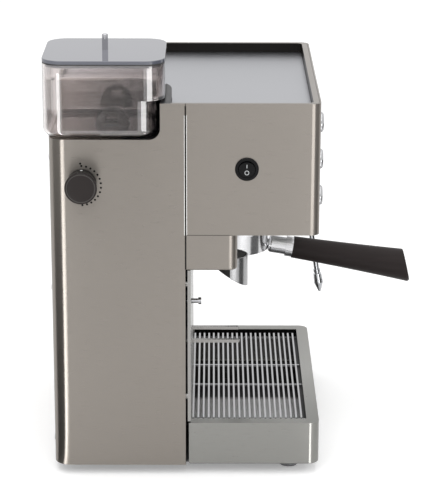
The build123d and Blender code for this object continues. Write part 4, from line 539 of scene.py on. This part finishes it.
class MACHINE_OT_casing(Operator):
    """Panels, deck, splash panel and feet"""

    bl_idname = "machine.casing"
    bl_label = "Casing"
    # the strips along the joints: how far they stand off, their sizes and the ends that they leave free
    strip_lift = 0.00004
    seam_width = 0.0015
    # the painted highlights beside the seam: their width and height
    edge_width = 0.0007
    edge_height = 0.1200
    joint_height = 0.0005
    joint_drop = 0.0001
    joint_start = 0.0010
    joint_end = 0.0055
    seam_ends = 0.0010
    top_end = 0.0020
    # where the hopper's pocket turns from painted shade, near black, to bare steel, and where the painted
    # light on the steel is strongest
    pocket_black, pocket_bare, pocket_pale = 0.058, 0.064, 0.125

    def execute(self, context):
        shades = context.scene.machine_colours
        casing = brushed_steel("casing_steel", tuple(shades.casing), BRUSHING)
        dress(casing, "column_casing", "front_casing", "grinder_box")
        dress(self.pocket_steel(tuple(shades.casing)), "hopper_pocket")
        dress(self.deck_rim(tuple(shades.casing)), "deck_frame")
        dress(polished_steel("cup_plate_steel", tuple(shades.cup_plate), 0.33), "cup_plate")
        dress(brushed_steel("splash_steel", (0.38, 0.372, 0.36), BRUSHING, 0.25), "splash_panel")
        inner = brushed_steel("inner_steel", (0.55, 0.55, 0.54), (60.0, 60.0, 60.0), 0.4)
        dress(inner, "bulkhead", "front_floor", "shower_screen", "filter_basket", "heating_element")
        dress(moulded_plastic("base_paint", (0.085, 0.085, 0.09), 0.6), "base_plate")
        dress(moulded_plastic("foot_rubber", (0.30, 0.30, 0.31), 0.55), "feet")
        dress(cast_metal("screw_steel", (0.50, 0.50, 0.50), 0.3), "case_screws")
        self.joint_lines()
        return {"FINISHED"}

    def joint_lines(self):
        """Thin strips: dark joints behind and over the grinder box, and painted highlights, bright polished
        strips, on both sides of the seam.
        """
        face = PANEL_X - self.strip_lift
        half = self.seam_width / 2
        start = BOX_HIGH.y - self.joint_start
        along = BOX_LOW.y - BOX_HIGH.y + self.joint_start + self.joint_end
        foot = BOX_LOW.z + self.seam_ends
        tall = COLUMN_TOP - self.top_end - foot
        dark = [
            flat_patch((face, start, BOX_HIGH.z - self.joint_drop), (0, along, 0), (0, 0, self.joint_height)),
            flat_patch((face, SEAM_Y - half, foot), (0, self.seam_width, 0), (0, 0, tall)),
        ]
        # painted highlights: bright strips on both sides of the seam
        bright = [
            flat_patch((face, side, BOX_HIGH.z), (0, self.edge_width, 0), (0, 0, self.edge_height))
            for side in (SEAM_Y + half, SEAM_Y - half - self.edge_width)
        ]
        ink = printed("joint_dark", (0.012, 0.011, 0.010))
        grid_piece("joint_shadows", dark, ink, "housing")
        steel = polished_steel("highlight_steel", (0.85, 0.84, 0.82))
        grid_piece("seam_highlights", bright, steel, "housing")

    def pocket_steel(self, base):
        """Pressed steel with painted shade, near black, in the corner towards the front, and painted light,
        paler steel, towards the rear.
        """
        made = start_finish("pocket_pressed")
        along = made.axis("Y")
        bare = made.ramp(along, self.pocket_black, self.pocket_bare)
        pale = made.ramp(along, self.pocket_bare, self.pocket_pale)
        grain = made.noise(BRUSHING, 2.0)
        # painted light: the steel grows paler towards the rear
        steel = made.mix(pale * 0.9 + grain * 0.1, tint(base, 0.55), tint(base, 1.7))
        # painted shade: near black towards the front
        return made.surface(
            base_color=made.mix(bare, (0.006, 0.006, 0.008), steel),
            metallic=bare,
            roughness=grain * 0.1 + 0.35,
        )

    def deck_rim(self, base):
        """Casing steel on the flange, and painted shade, near black, on the walls inside the recess, told
        apart by the upward normal.
        """
        made = start_finish("deck_rim_steel")
        facing = made.node("ShaderNodeTexCoord", output="Normal")
        upward = made.node("ShaderNodeSeparateXYZ", None, {"Vector": facing}, output="Z")
        flat = upward > 0.5
        lines = made.noise(BRUSHING, 2.0)
        steel = made.mix(lines, tint(base, 0.95), tint(base, 1.04))
        # painted shade: near black wherever the face does not point upward
        return made.surface(
            base_color=made.mix(flat, (0.008, 0.007, 0.006), steel),
            metallic=flat,
            specular_ior_level=0.15,
            roughness=lines * 0.1 + 0.25,
        )


class MACHINE_OT_hopper(Operator):
    """Bean hopper with its lid and knob"""

    bl_idname = "machine.hopper"
    bl_label = "Hopper"
    # between these places the colour turns paler towards the rear
    pale_start, pale_end = 0.020, 0.125

    def execute(self, context):
        shades = context.scene.machine_colours
        dress(self.smoked(tuple(shades.hopper)), "hopper")
        dress(self.lid_gloss(tuple(shades.lid)), "hopper_lid")
        dress(moulded_plastic("gasket_rubber", (0.05, 0.05, 0.05), 0.6), "lid_gasket", "group_gasket")
        dress(moulded_plastic("guard_plastic", (0.05, 0.045, 0.045), 0.35), "finger_guard")
        return {"FINISHED"}

    def smoked(self, base):
        """Smoked clear plastic, a little paler towards the rear, with faint flow marks."""
        made = start_finish("smoked_clear")
        flow = made.noise((12.0, 12.0, 20.0), 2.0)
        rear = made.ramp(made.axis("Y"), self.pale_start, self.pale_end)
        smoke = made.mix(rear * 0.94 + flow * 0.06, base, (0.93, 0.88, 0.87))
        return made.surface(
            base_color=smoke,
            transmission_weight=1.0,
            roughness=0.02,
            ior=1.46,
            coat_weight=1.0,
            coat_roughness=0.02,
            coat_ior=1.9,
        )

    def lid_gloss(self, base):
        """Polished plate with a mirror gloss."""
        made = start_finish("lid_clear")
        cloud = made.noise((16.0, 16.0, 16.0), 2.0)
        return made.surface(
            base_color=made.mix(cloud, tint(base, 0.97), tint(base, 1.03)),
            roughness=0.04,
            ior=1.72,
            coat_weight=0.3,
            coat_roughness=0.03,
        )


class MACHINE_OT_fittings(Operator):
    """Chromed and dark fittings outside the casing"""

    bl_idname = "machine.fittings"
    bl_label = "Fittings"

    def execute(self, context):
        shades = context.scene.machine_colours
        chrome = chrome_plate("bright_metal", tuple(shades.chrome))
        dress(chrome, "double_spout", "wand_collar", "steam_wand", "wand_tip")
        dress(chrome_plate("rod_metal", (0.46, 0.46, 0.48)), "lid_knob", "push_pin")
        dress(chrome_plate("brewing_metal", (0.72, 0.72, 0.73), 0.14), "group_head", "portafilter_body")
        dress(chrome_plate("satin_metal", (0.42, 0.42, 0.425), 0.20), "chute_guard")
        dress(chrome_plate("fork_metal", (0.34, 0.33, 0.32), 0.25), "portafilter_fork")
        buttons = chrome_plate("button_metal", (0.50, 0.50, 0.51), 0.16)
        dress(buttons, "brew_button_1", "brew_button_2", "brew_button_3", "button_bezels")
        black = tuple(shades.black)
        switch = moulded_plastic("switch_black", black, 0.34, 0.14)
        dress(switch, "switch_body", "switch_rocker", "power_inlet")
        dark = moulded_plastic("dark_plastic", (0.015, 0.015, 0.015), 0.45, 0.25)
        dress(dark, "dosing_chute", "grinds_duct", "microswitch")
        dress(moulded_plastic("knob_black", black, 0.38, 0.2), "steam_knob")
        dress(self.handle_skin(tuple(shades.handle)), "portafilter_handle")
        return {"FINISHED"}

    def handle_skin(self, base):
        """Satin moulding with fine lengthwise streaks."""
        made = start_finish("handle_brown")
        streak = made.noise((260.0, 22.0, 260.0), 3.0)
        skin = made.noise((1100.0, 1100.0, 1100.0), 2.0)
        return made.surface(
            base_color=made.mix(streak, tint(base, 0.75), tint(base, 1.3)),
            roughness=streak * 0.10 + 0.38,
            specular_ior_level=0.12,
            normal=made.bump(skin, 0.2, 0.00003),
        )


class MACHINE_OT_tray(Operator):
    """Drip tray and its grille"""

    bl_idname = "machine.tray"
    bl_label = "Drip tray"
    # the inside of the tray: half its width, its front and rear, under the rim and just over the floor
    inner_x, inner_front, inner_rear = 0.1445, -0.1315, -0.0075
    rim_z, floor_z = 0.0548, 0.0145
    # where the floor turns from painted light, pale, to painted shade, near black
    bare_end, dark_start = 0.022, 0.032

    def execute(self, context):
        shades = context.scene.machine_colours
        dress(self.tray_steel(tuple(shades.tray)), "drip_tray")
        dress(chrome_plate("grille_steel", (0.45, 0.45, 0.46), 0.16), "drip_grille")
        return {"FINISHED"}

    def tray_steel(self, base):
        """Brushed steel; inside, painted light, a pale floor near the switch side, and painted shade, near
        black, beyond it and on the walls.
        """
        made = start_finish("tray_steel")
        x, y, z = (made.axis(name) for name in "XYZ")
        inside = (x > -self.inner_x) * (x < self.inner_x) * (z < self.rim_z)
        inside = inside * (y > self.inner_front) * (y < self.inner_rear)
        beyond = made.ramp(x, self.bare_end, self.dark_start)
        dark = inside * beyond.peak(z > self.floor_z)
        lines = made.noise(BRUSHING, 3.0, 0.6)
        steel = made.mix(lines, tint(base, 0.95), tint(base, 1.05))
        # inside: painted light on the near floor, painted shade beyond it and on the walls
        return made.surface(
            base_color=made.mix(inside, steel, made.mix(dark, (0.80, 0.80, 0.80), (0.004, 0.004, 0.004))),
            metallic=1.0 - inside,
            specular_ior_level=0.1,
            roughness=lines * 0.14 + 0.23,
            anisotropic=0.85,
            anisotropic_rotation=0.25,
            normal=made.bump(lines, 0.10, 0.00004),
        )


class MACHINE_OT_works(Operator):
    """Grinder, boiler, pump and the other works inside"""

    bl_idname = "machine.works"
    bl_label = "Works inside"

    def execute(self, context):
        dress(cast_metal("cast_aluminium", (0.55, 0.55, 0.56)), "grinder_body", "adjusting_ring")
        dress(cast_metal("burr_steel", (0.40, 0.40, 0.41), 0.3), "lower_burr", "upper_burr", "worm_shaft")
        dress(moulded_plastic("motor_paint", (0.06, 0.06, 0.065), 0.5), "grinder_motor")
        dress(cast_metal("boiler_brass", (0.62, 0.42, 0.18), 0.35), "boiler", "steam_valve")
        dress(moulded_plastic("pump_plastic", (0.62, 0.62, 0.60), 0.45), "pump")
        dress(moulded_plastic("hose_clear", (0.55, 0.55, 0.53), 0.3), "pressure_pipe", "suction_hose")
        dress(clear_plastic("tank_clear", (0.80, 0.88, 0.92), 0.08), "water_tank")
        dress(moulded_plastic("board_green", (0.03, 0.14, 0.06), 0.4), "control_board")
        return {"FINISHED"}


class MACHINE_OT_grind_knob(Operator):
    """Grind knob with a knurled grip and a face with a turned ring"""

    bl_idname = "machine.grind_knob"
    bl_label = "Grind knob"
    # where the face begins, from the seat, and the radii of its groove, which carries a painted highlight
    face_depth = 0.0209
    groove_inner, groove_outer = 0.0132, 0.0141
    # distance from the seat, radius, and how deep the knurls run there
    profile = (
        (0.0, 0.0, 0.0),
        (0.0, 0.0134, 0.0),
        (0.0005, 0.0140, 0.0),
        (0.0046, 0.0140, 0.0),
        (0.0051, 0.0137, 0.0),
        (0.0055, 0.0140, 0.0),
        (0.0066, 0.0141, 1.0),
        (0.0120, 0.0147, 1.0),
        (0.0185, 0.0154, 1.0),
        (0.0196, 0.0156, 0.0),
        (0.0206, 0.0157, 0.0),
        (0.0213, 0.0153, 0.0),
        (0.0215, 0.0148, 0.0),
        (0.0215, 0.0142, 0.0),
        (0.0211, 0.0139, 0.0),
        (0.0211, 0.0134, 0.0),
        (0.0214, 0.0131, 0.0),
        (0.0215, 0.0122, 0.0),
        (0.0215, 0.0060, 0.0),
        (0.0215, 0.0, 0.0),
    )
    points_per_knurl = 6

    def execute(self, context):
        """Turns the profile: (seat - depth, reach * cos a, reach * sin a), reach = radius less the knurl.

        The knurl is knurl_depth * grip * (1 - cos(count * a)) / 2.
        """
        sizes = context.scene.machine_sizes
        black = tuple(context.scene.machine_colours.black)
        depth, radius, grip = (np.array(column)[:, None] for column in zip(*self.profile))
        turn = np.linspace(0, 2 * pi, sizes.knurl_count * self.points_per_knurl + 1)[None, :]
        knurl = sizes.knurl_depth * grip * (0.5 - 0.5 * np.cos(sizes.knurl_count * turn))
        reach = radius - knurl
        across = KNOB_Y + reach * np.cos(turn)
        up = KNOB_Z + reach * np.sin(turn)
        patch = np.stack([KNOB_SEAT_X - depth + 0 * reach, across, up], -1)
        skin = self.skin(black)
        grid_piece("grind_knob_turned", [patch], skin, "grind_setting", ("grind_knob",))
        return {"FINISHED"}

    def skin(self, black):
        """Black grip, darker than the face partly as painted shade of the knurls, and a dark brown face with
        turning rings, told apart by the distance from the seat; a paler ring on the groove is a painted
        highlight.
        """
        made = start_finish("knob_turned")
        face = made.axis("X") < KNOB_SEAT_X - self.face_depth
        spot = made.node("ShaderNodeTexCoord", output="Object")
        shift = {"Vector": spot, "Location": (0.0, -KNOB_Y, -KNOB_Z), "Scale": (0.0, 1.0, 1.0)}
        centred = made.node("ShaderNodeMapping", None, shift)
        rings = made.node(
            "ShaderNodeTexWave",
            {"wave_type": "RINGS", "rings_direction": "SPHERICAL"},
            {"Vector": centred, "Scale": 420.0, "Distortion": 0.6, "Detail": 2.0},
            output="Fac",
        )
        speck = made.noise((700.0, 700.0, 700.0), 2.0)
        out = made.node("ShaderNodeVectorMath", {"operation": "LENGTH"}, {"Vector": centred}, output="Value")
        # painted highlight: the groove's radii pick out a paler ring
        groove = (out > self.groove_inner) * (out < self.groove_outer)
        brown = made.mix(rings, (0.024, 0.0195, 0.0185), (0.030, 0.0245, 0.0235))
        # partly painted shade: the grip's black, darker than the face, stands for shade between the knurls
        grip = made.mix(speck, tint(black, 0.5), black)
        return made.surface(
            base_color=made.mix(face, grip, made.mix(groove, brown, (0.075, 0.07, 0.066))),
            roughness=rings * 0.06 + 0.36,
            specular_ior_level=0.14,
            normal=made.bump(rings, 0.08, 0.00002),
        )


class MACHINE_OT_dial_dots(Operator):
    """Ring of printed dots round the grind knob, with a second dot over the first"""

    bl_idname = "machine.dial_dots"
    bl_label = "Dial dots"
    centre = (0.1004, 0.3020)
    start_mark = (0.0001, 0.0220)
    first_turn, last_turn = 3.0, 176.0
    # between the panel and the rim of a dot
    gap = 0.00002

    def execute(self, context):
        sizes = context.scene.machine_sizes
        turns = np.radians(np.linspace(self.first_turn, self.last_turn, sizes.dot_count))
        places = [(-sizes.dot_ring * sin(turn), sizes.dot_ring * cos(turn)) for turn in turns]
        patches = []
        for across, up in (*places, self.start_mark):
            middle = (PANEL_X - self.gap, self.centre[0] + across, self.centre[1] + up)
            patches.append(
                dome_patch(middle, (0, 1, 0), (0, 0, 1), (-1, 0, 0), sizes.dot_radius, sizes.print_lift)
            )
        ink = printed("ink_black", (0.002, 0.002, 0.002))
        grid_piece("dial_dots", patches, ink, "housing")
        return {"FINISHED"}


class MACHINE_OT_switch_marks(Operator):
    """Bar and ring on the rocker, and the pointer on the grind knob"""

    bl_idname = "machine.switch_marks"
    bl_label = "Switch marks"
    tilt = radians(-9.0)
    valley = 0.0018
    slope = 0.15
    # shares of the marks' height
    bar_half_width, bar_centre = 0.08, 0.92
    ring_inner, ring_outer, ring_centre = 0.41, 0.56, 0.78
    # the pointer: distance from the panel, height over the knob's axis, radius and rise
    pointer_reach, pointer_up = 0.0074, 0.0142
    pointer_radius, pointer_rise = 0.0013, 0.0001

    def on_face(self, across, up, lift):
        """Points on the rocker's face: depth = valley + slope * |up|, then turned by the rocker's tilt."""
        depth = -(self.valley + self.slope * np.abs(up) + lift)
        return np.stack(
            [
                ROCKER_PIVOT.x + depth * cos(self.tilt) + up * sin(self.tilt),
                ROCKER_PIVOT.y + across,
                ROCKER_PIVOT.z - depth * sin(self.tilt) + up * cos(self.tilt),
            ],
            -1,
        )

    def execute(self, context):
        sizes = context.scene.machine_sizes
        tall = sizes.mark_height
        half = self.bar_half_width * tall
        s, t = np.meshgrid(np.linspace(-half, half, 3), np.linspace(-0.5, 0.5, 7) * tall)
        bar = self.on_face(s, t + self.bar_centre * tall, sizes.print_lift)
        radii = np.linspace(self.ring_inner, self.ring_outer, 3) * tall
        r, a = np.meshgrid(radii, np.linspace(0, 2 * pi, 33), indexing="ij")
        ring = self.on_face(r * np.cos(a), r * np.sin(a) - self.ring_centre * tall, sizes.print_lift)
        white = printed("ink_white", tuple(context.scene.machine_colours.marks))
        grid_piece("switch_marks", [bar, ring], white, "rocker")
        middle = (PANEL_X - self.pointer_reach, KNOB_Y, KNOB_Z + self.pointer_up)
        dot = dome_patch(middle, (0, 1, 0), (1, 0, 0), (0, 0, 1), self.pointer_radius, self.pointer_rise)
        bright = printed("ink_pointer", (0.92, 0.93, 0.94))
        grid_piece("knob_pointer", [dot], bright, "grind_setting")
        return {"FINISHED"}


class MACHINE_OT_gauge(Operator):
    """Gauge dial with its scale, numbers and glass"""

    bl_idname = "machine.gauge"
    bl_label = "Gauge"
    numbers = (0, 4, 8, 12, 16)
    number_ring = 0.0138
    number_size = 0.0052
    # the scale in degrees, clockwise from the top
    scale_start, scale_sweep = 225.0, 270.0
    # the dial: how far it stands before the front, the hole for the needle's shaft and its edge
    dial_out, dial_hole, dial_edge = 0.0006, 0.0013, 0.0228
    # the ticks: their outer ends, how many, which are long, and the lengths and widths
    tick_ring, tick_count, long_step = 0.0208, 33, 8
    long_tick, short_tick = (0.0040, 0.0007), (0.0022, 0.0004)
    glass_out, glass_radius, glass_rise = 0.0024, 0.0229, 0.0009

    def spoke(self, share):
        """The direction of a share of the scale, which runs clockwise from lower left to lower right."""
        turn = radians(self.scale_start + self.scale_sweep * share)
        return np.array((sin(turn), 0.0, cos(turn)))

    def execute(self, context):
        lift = context.scene.machine_sizes.print_lift
        dial_y = FRONT_Y - self.dial_out
        centre = (GAUGE_X, dial_y - lift / 2, GAUGE_Z)
        paper = ring_patch(centre, (1, 0, 0), (0, 0, 1), self.dial_hole, self.dial_edge, rows=6)
        grid_piece("gauge_dial", [paper], printed("dial_white", (0.86, 0.86, 0.84)), "housing")
        ink = bpy.data.materials["ink_black"]
        grid_piece("gauge_ticks", self.ticks(dial_y - 2 * lift), ink, "housing")
        for number, share in zip(self.numbers, np.linspace(0, 1, len(self.numbers))):
            self.number(str(number), self.spoke(share) * self.number_ring, dial_y - 2 * lift, ink)
        middle = (GAUGE_X, FRONT_Y - self.glass_out, GAUGE_Z)
        size = self.glass_radius, self.glass_rise
        glass = dome_patch(middle, (1, 0, 0), (0, 0, 1), (0, -1, 0), *size, 64, 8)
        clear = clear_plastic("gauge_glass_clear", (0.98, 0.98, 0.98), 0.0, 1.1)
        grid_piece("gauge_glass", [glass], clear, "housing")
        return {"FINISHED"}

    def ticks(self, plane):
        """One flat rectangle for each tick, from tick_ring inwards."""
        made = []
        for step in range(self.tick_count):
            way = self.spoke(step / (self.tick_count - 1))
            reach, width = self.short_tick if step % self.long_step else self.long_tick
            across = np.cross(way, (0.0, 1.0, 0.0)) * width
            corner = np.array((GAUGE_X, plane, GAUGE_Z)) + way * (self.tick_ring - reach) - across / 2
            made.append(flat_patch(corner, across, way * reach))
        return made

    def number(self, words, offset, plane, ink):
        """One number of the scale as a flat mesh that stands upright on the dial."""
        curve = bpy.data.curves.new(f"gauge_number_{words}", "FONT")
        curve.body = words
        curve.size = self.number_size
        curve.align_x, curve.align_y = "CENTER", "CENTER"
        helper = bpy.data.objects.new("number_helper", curve)
        bpy.context.scene.collection.objects.link(helper)
        bpy.context.view_layer.update()
        mesh = bpy.data.meshes.new_from_object(helper.evaluated_get(bpy.context.evaluated_depsgraph_get()))
        bpy.data.objects.remove(helper)
        turn = Matrix.Rotation(pi / 2, 4, "X")
        mesh.transform(Matrix.Translation((GAUGE_X + offset[0], plane, GAUGE_Z + offset[2])) @ turn)
        mesh.materials.clear()
        mesh.materials.append(ink)
        piece = bpy.data.objects.new(f"gauge_number_{words}", mesh)
        bpy.context.scene.collection.objects.link(piece)
        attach(piece, "housing")


class MACHINE_OT_gauge_case(Operator):
    """Gauge rim and needle"""

    bl_idname = "machine.gauge_case"
    bl_label = "Gauge case"

    def execute(self, context):
        dress(chrome_plate("gauge_rim", (0.70, 0.70, 0.71), 0.1), "pressure_gauge")
        dress(moulded_plastic("needle_black", (0.02, 0.02, 0.02), 0.4), "gauge_needle")
        return {"FINISHED"}


STEPS = (
    MACHINE_OT_stage,
    MACHINE_OT_casing,
    MACHINE_OT_hopper,
    MACHINE_OT_fittings,
    MACHINE_OT_tray,
    MACHINE_OT_works,
    MACHINE_OT_grind_knob,
    MACHINE_OT_dial_dots,
    MACHINE_OT_switch_marks,
    MACHINE_OT_gauge_case,
    MACHINE_OT_gauge,
)


class MACHINE_PT_pieces(Panel):
    """Lists the steps in the sidebar"""

    bl_idname = "MACHINE_PT_pieces"
    bl_label = "Espresso machine"
    bl_space_type = "VIEW_3D"
    bl_region_type = "UI"
    bl_category = "Espresso"

    def draw(self, context):
        for holder, kind in GROUPS:
            box = self.layout.box()
            for name in kind.__annotations__:
                box.prop(getattr(context.scene, holder), name)
        for step in STEPS:
            self.layout.operator(step.bl_idname)


GROUPS = (
    ("machine_sizes", MachineSizes),
    ("machine_colours", MachineColours),
    ("machine_studio", StudioSettings),
)


def register():
    """Registers the groups, the steps and the panel."""
    for name, group in GROUPS:
        bpy.utils.register_class(group)
        setattr(bpy.types.Scene, name, PointerProperty(type=group))
    for step in (*STEPS, MACHINE_PT_pieces):
        bpy.utils.register_class(step)


def unregister():
    """Takes everything out again, in the opposite order."""
    for step in (MACHINE_PT_pieces, *reversed(STEPS)):
        bpy.utils.unregister_class(step)
    for name, group in reversed(GROUPS):
        delattr(bpy.types.Scene, name)
        bpy.utils.unregister_class(group)


def main():
    """Runs every step in order."""
    register()
    for step in STEPS:
        group, name = step.bl_idname.split(".")
        getattr(getattr(bpy.ops, group), name)()


if __name__ == "__main__":
    main()
